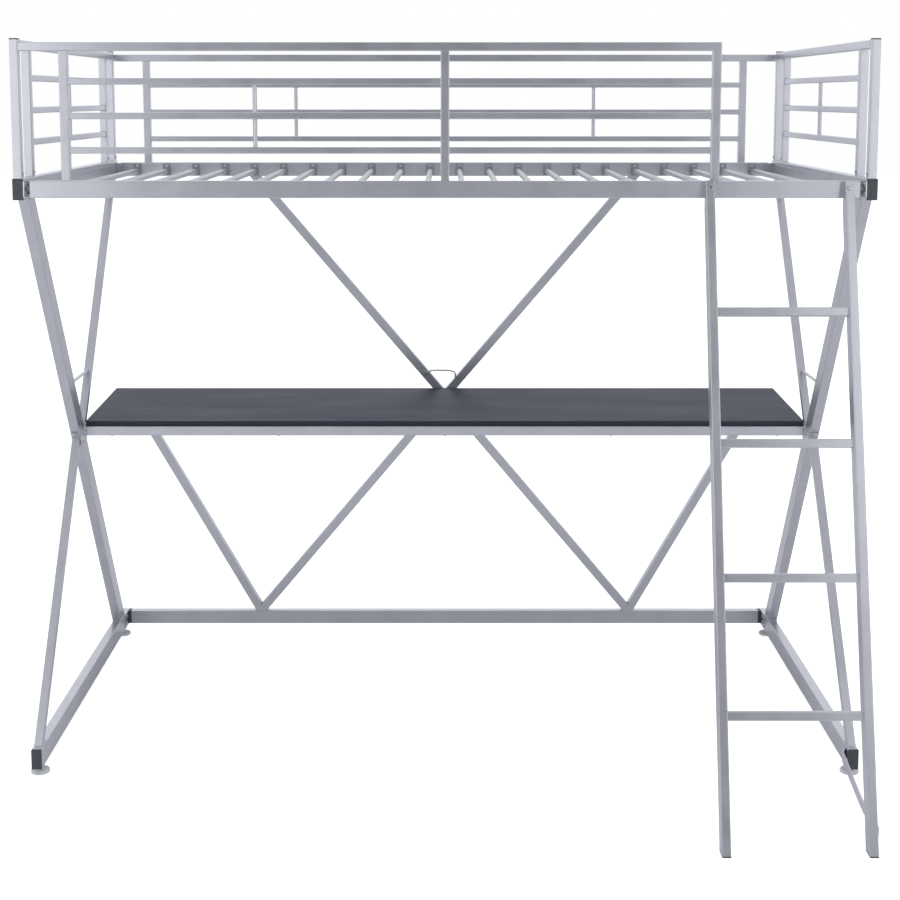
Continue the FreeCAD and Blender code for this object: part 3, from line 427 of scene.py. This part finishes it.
def skin_rings(work: bmesh.types.BMesh, rings: list[list[Vector]], closed: bool = False) -> None:
    """Join rings of equal length with quads; open ends are capped.

    Args:
        work: Mesh to add to.
        rings: Rings of points.
        closed: Whether the last ring joins the first one.
    """
    loops = [[work.verts.new(point) for point in ring] for ring in rings]
    pairs = list(zip(loops, loops[1:]))
    if closed:
        pairs.append((loops[-1], loops[0]))
    for here, there in pairs:
        count = len(here)
        for index in range(count):
            after = (index + 1) % count
            work.faces.new((here[index], here[after], there[after], there[index]))
    if not closed:
        work.faces.new(loops[0][::-1])
        work.faces.new(loops[-1])


def turned(work: bmesh.types.BMesh, centre: Vector, outline: list[tuple[float, float]],
           steps: int, radius_at: Callable[[float, float], float] | None = None) -> None:
    """Add a closed body of revolution about an upright axis.

    Args:
        work: Mesh to add to.
        centre: Point on the axis, at the outline's zero height.
        outline: Closed outline as radius and height, from the axis back to the axis.
        steps: Number of steps round the axis.
        radius_at: Optional change of a radius with the angle.
    """
    rings = []
    for radius, height in outline:
        ring = []
        for step in range(steps):
            angle = 2 * math.pi * step / steps
            reach = radius_at(radius, angle) if radius_at else radius
            offset = Vector((reach * math.cos(angle), reach * math.sin(angle), height))
            ring.append(centre + offset)
        rings.append(ring)
    skin_rings(work, rings)


@dataclass(frozen=True)
class Seam:
    """Line round a tube's end, where it is welded to its neighbour."""

    centre: Vector
    across: Vector
    along: Vector
    width: float
    height: float
    bead: float
    corner: float = TUBE_CORNER

    def point(self, travel: float) -> tuple[Vector, Vector]:
        """Place on the line and the direction away from the tube.

        Args:
            travel: Share of the way round, from 0 to 1.

        Returns:
            The point and the outward direction.
        """
        flat_x = self.width - 2 * self.corner
        flat_y = self.height - 2 * self.corner
        arc = math.pi * self.corner / 2
        spans = (flat_y, arc, flat_x, arc, flat_y, arc, flat_x, arc)
        signs = ((1, -1), (1, 1), (1, 1), (-1, 1), (-1, 1), (-1, -1), (-1, -1), (1, -1))
        left = travel * sum(spans)
        index = 0
        while index < len(spans) - 1 and left > spans[index]:
            left -= spans[index]
            index += 1
        side_x, side_y = signs[index]
        quarter = index // 2
        if index % 2 == 0:
            angle = quarter * math.pi / 2
            share = left / spans[index] * 2 - 1
            middle = Vector((math.cos(angle) * self.width / 2, math.sin(angle) * self.height / 2))
            side = Vector((-math.sin(angle), math.cos(angle)))
            half = spans[index] / 2
            flat = middle + side * (share * half)
        else:
            angle = quarter * math.pi / 2 + left / arc * math.pi / 2
            flat = Vector((side_x * flat_x / 2, side_y * flat_y / 2))
            flat = flat + Vector((math.cos(angle), math.sin(angle))) * self.corner
        away = Vector((math.cos(angle), math.sin(angle)))
        place = self.centre + self.across * flat.x + self.along * flat.y
        return place, self.across * away.x + self.along * away.y

    def length(self) -> float:
        """Distance once round the line."""
        flats = 2 * (self.width + self.height - 4 * self.corner)
        return flats + 2 * math.pi * self.corner


class WeldShop:
    """Lays rippled weld beads round tube ends."""

    ripple = 0.0026                  # length of one ripple
    ripple_share = 0.10              # its height, as a share of the bead
    drift_turns = 3                  # slow swells once round a seam
    drift_share = 0.07
    drift_phase = (40, 25)           # shifts the swells with the seam's place
    step = 0.0014
    fewest_steps = 24
    sides = 7
    smooth = 60.0

    def __init__(self, palette: Palette) -> None:
        """Keep the palette for the beads' paint.

        Args:
            palette: The bed's finishes.
        """
        self.palette = palette

    def bead(self, work: bmesh.types.BMesh, seam: Seam) -> None:
        """Add one bead: a small closed ring whose thickness ripples along the seam.

        Args:
            work: Mesh to add to.
            seam: Where the bead lies.
        """
        count = max(self.fewest_steps, round(seam.length() / self.step))
        ripples = round(seam.length() / self.ripple)
        phase = seam.centre.x * self.drift_phase[0] + seam.centre.z * self.drift_phase[1]
        normal = seam.across.cross(seam.along)
        rings = []
        for index in range(count):
            share = index / count
            place, away = seam.point(share)
            wave = math.cos(2 * math.pi * share * ripples)
            drift = math.sin(2 * math.pi * share * self.drift_turns + phase)
            radius = seam.bead * (1 + self.ripple_share * wave + self.drift_share * drift)
            ring = []
            for side in range(self.sides):
                angle = 2 * math.pi * side / self.sides
                ring.append(place + away * (radius * math.cos(angle))
                            + normal * (radius * math.sin(angle)))
            rings.append(ring)
        skin_rings(work, rings, closed=True)

    def lay(self, name: str, seams: list[Seam]) -> bpy.types.Object:
        """Lay all beads of one sub-assembly as one piece.

        Args:
            name: Name of the piece.
            seams: The seams to weld.

        Returns:
            The beads.
        """
        work = bmesh.new()
        for seam in seams:
            self.bead(work, seam)
        return make_object(name, work, self.palette.materials[Slot.PAINT],
                           smooth=self.smooth)


def end_seams(node: str, axis: Vector, bead: float, round_bar: bool = False) -> list[Seam]:
    """Seams at both ends of every straight tube in a node.

    Args:
        node: Name of the node.
        axis: Direction that its tubes run in.
        bead: Thickness of the bead.
        round_bar: Whether the tubes are round.

    Returns:
        Two seams for each tube.
    """
    across, along = {
        (1, 0, 0): (BACK, UP),
        (0, 1, 0): (UP, RIGHT),
        (0, 0, 1): (RIGHT, BACK),
    }[tuple(int(value) for value in axis)]
    seams = []
    for solid in solids_of(node):
        width = solid.size.dot(across)
        height = solid.size.dot(along)
        corner = min(width, height) / 2 - ROUND_BAR_FLAT if round_bar else TUBE_CORNER
        reach = solid.size.dot(axis) / 2
        for sign in (-1, 1):
            seams.append(Seam(solid.centre + axis * (sign * reach), across, along,
                              width, height, bead, corner))
    return seams


def leaning_seam(solid: Solid, thickness: float, width: float, top: bool, front: bool,
                 bead: float) -> Seam:
    """Seam at one level end of a tube that leans in the YZ plane.

    Args:
        solid: Box of the tube.
        thickness: Depth of the tube, square to its length.
        width: Width of the tube in X.
        top: Whether the seam is at the top end.
        front: Whether that end is the front one.
        bead: Thickness of the bead.

    Returns:
        The seam.
    """
    run = solid.size.y
    section = thickness
    for _ in range(SECTION_PASSES):
        section = thickness * math.hypot(solid.size.z, run - section) / solid.size.z
    y = solid.low.y + section / 2 if front else solid.high.y - section / 2
    z = solid.high.z if top else solid.low.z
    return Seam(Vector((solid.centre.x, y, z)), RIGHT, BACK, width, section, bead)


# ---------------------------------------------------------------------------------------------
# Sub-assemblies
# ---------------------------------------------------------------------------------------------


@dataclass
class Assembly:
    """One share of the bed: the nodes that it dresses and the pieces that it adds."""

    palette: Palette
    welds: WeldShop
    finishes: ClassVar[dict[Slot, list[str]]] = {}

    def build(self) -> None:
        """Dress the nodes, then add the pieces."""
        for slot, nodes in self.finishes.items():
            self.palette.dress(slot, nodes)
        self.add_pieces()

    def add_pieces(self) -> None:
        """Add the pieces that need mesh work; a plain share has none."""


@dataclass
class EndFrames(Assembly):
    """The two crossed end frames that carry the deck."""

    bar_depth: float = 0.050
    bar_width: float = 0.025
    strut_size: float = 0.020
    sides: ClassVar[tuple[str, ...]] = ("left", "right")
    finishes: ClassVar[dict[Slot, list[str]]] = {
        Slot.PAINT: ["left_top_bar", "left_bottom_bar", "left_diagonal", "right_top_bar",
                     "right_bottom_bar", "right_diagonal", "light_struts", "tie_rods"],
        Slot.ZINC: ["strut_plates", "frame_bolts"],
        Slot.BLACK_PLASTIC: ["tube_plugs"],
    }

    def add_pieces(self) -> None:
        """Weld the diagonals and struts."""
        self.welds.lay("end_frame_welds", self.seams())

    def seams(self) -> list[Seam]:
        """Seams at the ends of the diagonals, and of the struts on their bars.

        Returns:
            The seams.
        """
        found = []
        for side in self.sides:
            solid = Solid(*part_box(f"{side}_diagonal"))
            for top in (True, False):
                found.append(leaning_seam(solid, self.bar_depth, self.bar_width, top, top,
                                          FRAME_BEAD))
        struts = solids_of("light_struts")
        middle = sum(solid.centre.z for solid in struts) / len(struts)
        for solid in struts:
            upper = solid.centre.z > middle
            found.append(leaning_seam(solid, self.strut_size, self.strut_size, upper,
                                      not upper, FRAME_BEAD))
        return found


@dataclass
class EndPanels(Assembly):
    """Corner posts and the ladder-like panels at the head and foot."""

    spindle_share: float = 0.7
    finishes: ClassVar[dict[Slot, list[str]]] = {
        Slot.PAINT: ["front_left_post", "front_right_post", "rear_left_post", "rear_right_post",
                     "post_spigots", "end_panel_top_rails", "end_panel_posts",
                     "end_panel_rails", "guard_spindles"],
        Slot.BLACK_PLASTIC: ["post_caps"],
    }

    def add_pieces(self) -> None:
        """Weld the rails and the spindles."""
        seams = end_seams("end_panel_rails", BACK, RAIL_BEAD)
        seams += end_seams("end_panel_top_rails", BACK, FLUSH_BEAD)
        seams += end_seams("guard_spindles", UP, RAIL_BEAD * self.spindle_share, round_bar=True)
        self.welds.lay("end_panel_welds", seams)


@dataclass
class Guards(Assembly):
    """Front and rear guard rails above the deck."""

    finishes: ClassVar[dict[Slot, list[str]]] = {
        Slot.PAINT: ["front_guard_top_rail", "front_guard_uprights", "front_guard_end_post",
                     "front_guard_rails", "rear_guard_top_rail", "rear_guard_uprights",
                     "rear_guard_rails"],
    }

    def add_pieces(self) -> None:
        """Weld the rails and uprights."""
        seams = []
        for name in ("front", "rear"):
            seams += end_seams(f"{name}_guard_rails", RIGHT, RAIL_BEAD)
            seams += end_seams(f"{name}_guard_uprights", UP, FLUSH_BEAD)
        self.welds.lay("guard_welds", seams)


@dataclass
class Deck(Assembly):
    """Side rails, slats and what holds them."""

    finishes: ClassVar[dict[Slot, list[str]]] = {
        Slot.PAINT: ["front_side_rail", "rear_side_rail", "deck_ledges"],
        Slot.ZINC: ["side_rail_brackets", "slat_screws"],
        Slot.SLAT: ["slats"],
        Slot.GREY_PLASTIC: ["slat_clips"],
    }


@dataclass
class Desk(Assembly):
    """The board, its edge band, and the rails under it."""

    band: float = 0.0012             # thickness of the edge band
    under_inset: float = 0.00168     # board's underside behind the outline
    top_inset: float = 0.00156
    arris: float = 0.0007            # rounding of the band's edges
    shoulder_share: float = 0.3      # middle of the rounding, from both faces
    crown_share: float = 0.1         # start of the rounding, from the board's face
    smooth: float = 50.0
    outline_digits: ClassVar[int] = 5
    finishes: ClassVar[dict[Slot, list[str]]] = {
        Slot.PAINT: ["desk_front_rail", "desk_rear_rail"],
        Slot.ZINC: ["desk_brackets"],
        Slot.BLACK_STEEL: ["desk_screws"],
    }

    def add_pieces(self) -> None:
        """Weld the front rail, and make the board and its edge band."""
        self.welds.lay("desk_rail_welds", end_seams("desk_front_rail", RIGHT, RAIL_BEAD))
        board = self.board()
        edge = self.edge_band()
        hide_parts("desk_top")
        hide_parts("desk_top")

    def outline(self) -> list[Vector]:
        """Outline of the board's top face, in order round its middle.

        Returns:
            Points of the outline at height zero.
        """
        low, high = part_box("desk_top")
        middle = (low + high) / 2
        places = {}
        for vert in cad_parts["desk_top"].data.vertices:
            if vert.co.z > high.z - FACE_TOLERANCE:
                place = (round(vert.co.x, self.outline_digits),
                         round(vert.co.y, self.outline_digits))
                places[place] = vert.co
        points = [Vector((co.x, co.y, 0.0)) for co in places.values()]
        return sorted(points, key=lambda co: math.atan2(co.y - middle.y, co.x - middle.x))

    @staticmethod
    def inset(points: list[Vector], distance: float) -> list[Vector]:
        """Move an outline inwards by the same distance all round.

        Args:
            points: Outline in anticlockwise order.
            distance: How far to move it.

        Returns:
            The smaller outline.
        """
        moved = []
        for index, point in enumerate(points):
            before = (point - points[index - 1]).normalized()
            after = (points[(index + 1) % len(points)] - point).normalized()
            heading = (before + after).normalized()
            inward = UP.cross(heading)
            share = max(MITRE_LIMIT, inward.dot(UP.cross(after)))
            moved.append(point + inward * (distance / share))
        return moved

    def rings(self, profile: list[tuple[float, float]]) -> list[list[Vector]]:
        """Rings of the outline at insets and heights.

        Args:
            profile: Pairs of inset and height above the floor.

        Returns:
            One ring for each pair.
        """
        outline = self.outline()
        made = []
        for distance, height in profile:
            made.append([point + UP * height for point in self.inset(outline, distance)])
        return made

    def board(self) -> bpy.types.Object:
        """Laminated board inside its edge band.

        Returns:
            The board.
        """
        low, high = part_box("desk_top")
        profile = [(self.under_inset, low.z), (self.band, low.z + self.arris / 2),
                   (self.band, high.z - self.arris / 2), (self.top_inset, high.z)]
        work = bmesh.new()
        skin_rings(work, self.rings(profile))
        return make_object("desk_board", work, self.palette.materials[Slot.BOARD])

    def edge_band(self) -> bpy.types.Object:
        """Band glued round the board, with rounded edges.

        Returns:
            The band.
        """
        low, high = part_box("desk_top")
        soft = self.arris
        crown = soft * self.crown_share
        shoulder = soft * self.shoulder_share
        profile = [(self.band, low.z + soft), (soft, low.z + crown),
                   (shoulder, low.z + shoulder), (0.0, low.z + soft),
                   (0.0, high.z - soft), (shoulder, high.z - shoulder),
                   (soft, high.z - crown), (self.band, high.z - crown)]
        work = bmesh.new()
        skin_rings(work, self.rings(profile), closed=True)
        return make_object("desk_edge_band", work, self.palette.materials[Slot.BOARD],
                           smooth=self.smooth)


@dataclass
class RearBracing(Assembly):
    """Braces, stretcher and wire hook behind the desk."""

    finishes: ClassVar[dict[Slot, list[str]]] = {
        Slot.PAINT: ["upper_braces", "lower_braces", "rear_stretcher"],
        Slot.BLACK_PLASTIC: ["stretcher_spacers"],
        Slot.ZINC: ["stretcher_plates", "wire_hook"],
    }


@dataclass
class Ladder(Assembly):
    """The leaning ladder and its stay."""

    rung_size: float = 0.020
    finishes: ClassVar[dict[Slot, list[str]]] = {
        Slot.PAINT: ["ladder_left_stile", "ladder_right_stile", "ladder_rungs", "ladder_stay"],
        Slot.BLACK_PLASTIC: ["ladder_foot_plugs"],
    }

    def add_pieces(self) -> None:
        """Weld the rungs."""
        self.welds.lay("ladder_welds", self.seams())

    def seams(self) -> list[Seam]:
        """Seams where the rungs meet the stiles.

        Returns:
            The seams.
        """
        rungs = solids_of("ladder_rungs")
        centres = sorted((rung.centre for rung in rungs), key=lambda centre: centre.z)
        rise = (centres[-1] - centres[0]).normalized()
        out = RIGHT.cross(rise)
        seams = []
        for rung in rungs:
            for sign in (-1, 1):
                end = rung.centre + RIGHT * (sign * rung.size.x / 2)
                seams.append(Seam(end, rise, out, self.rung_size, self.rung_size, LADDER_BEAD))
        return seams


@dataclass
class Feet(Assembly):
    """Four levelling feet: moulded pads on threaded screws."""

    steps: int = 72
    scallops: int = 24
    scallop_depth: float = 0.010     # share of the radius
    rim_start: float = 0.9           # share of the radius where the grips begin
    hub_share: float = 0.34          # hub's radius in the pad's
    recess: float = 0.0010           # depth of the hollow under the sole
    crown: float = 0.995             # height of the hub's middle in the pad's
    screw_steps: int = 20
    pitch: float = 0.00125
    rows_per_pitch: int = 6
    thread_depth: float = 0.0005
    tip_length: float = 0.002
    tip_taper: float = 0.2
    corners: ClassVar[tuple[str, ...]] = ("front_left", "front_right", "rear_left",
                                          "rear_right")
    # Sole: share of the radius, and height. Rim: shares of the radius and of the height.
    # Hub: shares of the hub's radius and of the height.
    sole: ClassVar[tuple[tuple[float, float], ...]] = (
        (0.70, 0.0010), (0.74, 0.0), (0.95, 0.0), (0.99, 0.0008), (1.0, 0.0020))
    rim: ClassVar[tuple[tuple[float, float], ...]] = (
        (1.0, 0.50), (0.985, 0.62), (0.93, 0.72), (0.80, 0.775))
    hub: ClassVar[tuple[tuple[float, float], ...]] = (
        (1.25, 0.80), (1.05, 0.84), (1.0, 0.90), (1.0, 0.98), (0.94, 1.0), (0.56, 1.0))
    finishes: ClassVar[dict[Slot, list[str]]] = {Slot.BLACK_PLASTIC: ["foot_inserts"]}

    def add_pieces(self) -> None:
        """Make every pad and screw."""
        for corner in self.corners:
            self.pad(f"{corner}_foot")
            self.screw(f"{corner}_foot")

    def pad(self, foot: str) -> None:
        """Make one moulded pad with a scalloped rim and a hollow sole.

        Args:
            foot: Name of the foot's body.
        """
        low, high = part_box(f"{foot}_pad")
        radius = (high.x - low.x) / 2
        height = high.z - low.z
        centre = Vector(((low.x + high.x) / 2, (low.y + high.y) / 2, low.z))
        hub = radius * self.hub_share
        outline = [(AXIS_RADIUS, self.recess)]
        outline += [(radius * share, rise) for share, rise in self.sole]
        outline += [(radius * share, height * rise) for share, rise in self.rim]
        outline += [(hub * share, height * rise) for share, rise in self.hub]
        outline.append((AXIS_RADIUS, height * self.crown))

        def scalloped(reach: float, angle: float) -> float:
            """Draw the rim in a little between its grips.

            Args:
                reach: Radius of the plain outline.
                angle: Angle round the axis.

            Returns:
                The scalloped radius.
            """
            rim_share = max(0.0, (reach / radius - self.rim_start) / (1 - self.rim_start))
            depth = self.scallop_depth * rim_share
            return reach * (1 - depth * (1 - math.cos(self.scallops * angle)) / 2)

        work = bmesh.new()
        turned(work, centre, outline, self.steps, scalloped)
        piece = make_object(f"{foot}_moulded_pad", work, self.palette.materials[Slot.FOOT],
                            body=foot)
        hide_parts(f"{foot}_pad")

    def screw(self, foot: str) -> None:
        """Make one threaded screw.

        Args:
            foot: Name of the foot's body.
        """
        low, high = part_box(f"{foot}_screw")
        radius = (high.x - low.x) / 2
        centre = Vector(((low.x + high.x) / 2, (low.y + high.y) / 2, 0.0))
        rows = math.ceil((high.z - low.z) / self.pitch * self.rows_per_pitch)
        rings = []
        for row in range(rows + 1):
            height = low.z + (high.z - low.z) * row / rows
            to_tip = (high.z - height) / self.tip_length
            taper = min(1.0, 1.0 - self.tip_taper + to_tip * self.tip_taper)
            ring = []
            for step in range(self.screw_steps):
                turn = step / self.screw_steps
                angle = 2 * math.pi * turn
                phase = ((height - low.z) / self.pitch - turn) % 1.0
                reach = (radius - self.thread_depth * abs(2 * phase - 1)) * taper
                ring.append(centre + Vector((reach * math.cos(angle), reach * math.sin(angle),
                                             height)))
            rings.append(ring)
        work = bmesh.new()
        skin_rings(work, rings)
        piece = make_object(f"{foot}_threaded_screw", work, self.palette.materials[Slot.ZINC],
                            body=foot)
        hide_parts(f"{foot}_screw")


# ---------------------------------------------------------------------------------------------
# Studio
# ---------------------------------------------------------------------------------------------


@dataclass(frozen=True)
class SoftBox:
    """A large light aimed at the middle of the bed."""

    name: str
    place: tuple[float, float, float]
    size: tuple[float, float]
    power: float

    def build(self) -> None:
        """Add the light."""
        data = bpy.data.lights.new(self.name, "AREA")
        data.shape = "RECTANGLE"
        data.size, data.size_y = self.size
        data.energy = self.power
        light = bpy.data.objects.new(self.name, data)
        bpy.context.scene.collection.objects.link(light)
        target = (CAD_BOX[0] + CAD_BOX[1]) / 2
        light.location = self.place
        aim = target - Vector(self.place)
        light.rotation_euler = aim.to_track_quat("-Z", "Y").to_euler()


@dataclass(frozen=True)
class Studio:
    """White floor, soft light from all round, and the camera."""

    eye: tuple[float, float, float] = (-0.0028, -3.9496, 1.6333)
    pitch: float = -0.1219
    yaw: float = 0.0001
    lens: float = 62.67
    sensor: float = 36.0
    shift: tuple[float, float] = (0.0071, -0.178)
    far: float = 100.0
    floor_size: float = 30.0
    floor_tone: Colour = (0.80, 0.80, 0.81)
    floor_roughness: float = 0.9
    floor_gloss: float = 0.1
    floor_glow: float = 0.75
    behind: Colour = (0.95, 0.96, 1.0)
    beside: Colour = (0.62, 0.63, 0.66)
    beside_stop: float = 0.72
    ahead: Colour = (0.10, 0.103, 0.115)
    ahead_stop: float = 0.97
    lights: tuple[SoftBox, ...] = (
        SoftBox("left_light", (-3.0, -4.2, 2.1), (2.0, 3.2), 46.0),
        SoftBox("right_light", (3.0, -4.2, 2.1), (2.0, 3.2), 40.0),
        SoftBox("top_light", (0.0, 0.8, 4.2), (4.0, 2.6), 30.0),
    )

    def build(self) -> None:
        """Set up the floor, the light and the camera."""
        bpy.context.scene.view_settings.view_transform = "Standard"
        self.floor()
        self.sky()
        for light in self.lights:
            light.build()
        self.camera()

    def floor(self) -> None:
        """White floor that catches faint shadows."""
        work = bmesh.new()
        bmesh.ops.create_grid(work, x_segments=2, y_segments=2, size=self.floor_size)
        data = bpy.data.meshes.new("studio_floor")
        work.to_mesh(data)
        work.free()
        floor = bpy.data.objects.new("studio_floor", data)
        bpy.context.scene.collection.objects.link(floor)
        material = bpy.data.materials.new("studio_floor_white")
        material.use_nodes = True
        tree = material.node_tree
        shader = tree.nodes["Principled BSDF"]
        shader.inputs["Base Color"].default_value = (*self.floor_tone, 1.0)
        shader.inputs["Roughness"].default_value = self.floor_roughness
        shader.inputs["Specular IOR Level"].default_value = self.floor_gloss
        shader.inputs["Emission Color"].default_value = (1.0, 1.0, 1.0, 1.0)
        path = tree.nodes.new("ShaderNodeLightPath")
        glow = tree.nodes.new("ShaderNodeMath")
        glow.operation = "MULTIPLY"
        glow.inputs[1].default_value = self.floor_glow
        tree.links.new(path.outputs["Is Camera Ray"], glow.inputs[0])
        tree.links.new(glow.outputs[0], shader.inputs["Emission Strength"])
        data.materials.append(material)

    def sky(self) -> None:
        """White surroundings that are darker straight in front of the bed."""
        world = bpy.data.worlds.new("studio_world")
        bpy.context.scene.world = world
        world.use_nodes = True
        tree = world.node_tree
        nodes = tree.nodes
        background = nodes["Background"]
        source = nodes.new("ShaderNodeTexCoord")
        facing = nodes.new("ShaderNodeVectorMath")
        facing.operation = "DOT_PRODUCT"
        facing.inputs[1].default_value = (0.0, -1.0, 0.0)
        tree.links.new(source.outputs["Generated"], facing.inputs[0])
        ramp = nodes.new("ShaderNodeValToRGB")
        ramp.color_ramp.interpolation = "EASE"
        stops = ramp.color_ramp.elements
        stops[0].position, stops[0].color = 0.0, (*self.behind, 1.0)
        stops[1].position, stops[1].color = self.ahead_stop, (*self.ahead, 1.0)
        stops.new(self.beside_stop).color = (*self.beside, 1.0)
        spread = nodes.new("ShaderNodeMapRange")
        spread.inputs["From Min"].default_value = -1.0
        tree.links.new(facing.outputs["Value"], spread.inputs["Value"])
        tree.links.new(spread.outputs[0], ramp.inputs["Fac"])
        tree.links.new(ramp.outputs["Color"], background.inputs["Color"])
        plain = nodes.new("ShaderNodeBackground")
        plain.inputs["Color"].default_value = (1.0, 1.0, 1.0, 1.0)
        path = nodes.new("ShaderNodeLightPath")
        choose = nodes.new("ShaderNodeMixShader")
        tree.links.new(path.outputs["Is Camera Ray"], choose.inputs[0])
        tree.links.new(background.outputs[0], choose.inputs[1])
        tree.links.new(plain.outputs[0], choose.inputs[2])
        tree.links.new(choose.outputs[0], nodes["World Output"].inputs["Surface"])

    def camera(self) -> None:
        """Stand the camera in front of the bed, above the deck, looking slightly down."""
        data = bpy.data.cameras.new("camera")
        data.lens = self.lens
        data.sensor_width = self.sensor
        data.shift_x, data.shift_y = self.shift
        data.clip_end = self.far
        camera = bpy.data.objects.new("camera", data)
        bpy.context.scene.collection.objects.link(camera)
        tilt = Matrix.Rotation(math.pi / 2 + self.pitch, 4, "X")
        turn = Matrix.Rotation(self.yaw, 4, "Z")
        camera.matrix_world = Matrix.Translation(self.eye) @ turn @ tilt
        bpy.context.scene.camera = camera


def main() -> None:
    """Build the bed's looks in order."""
    logging.basicConfig(level=logging.INFO, format="%(name)s: %(message)s")
    palette = Palette()
    welds = WeldShop(palette)
    Studio().build()
    for assembly in (
        EndFrames(palette, welds),
        EndPanels(palette, welds),
        Guards(palette, welds),
        Deck(palette, welds),
        Desk(palette, welds),
        RearBracing(palette, welds),
        Ladder(palette, welds),
        Feet(palette, welds),
    ):
        LOG.info("sub-assembly %s", type(assembly).__name__)
        assembly.build()


if __name__ == "__main__":
    main()
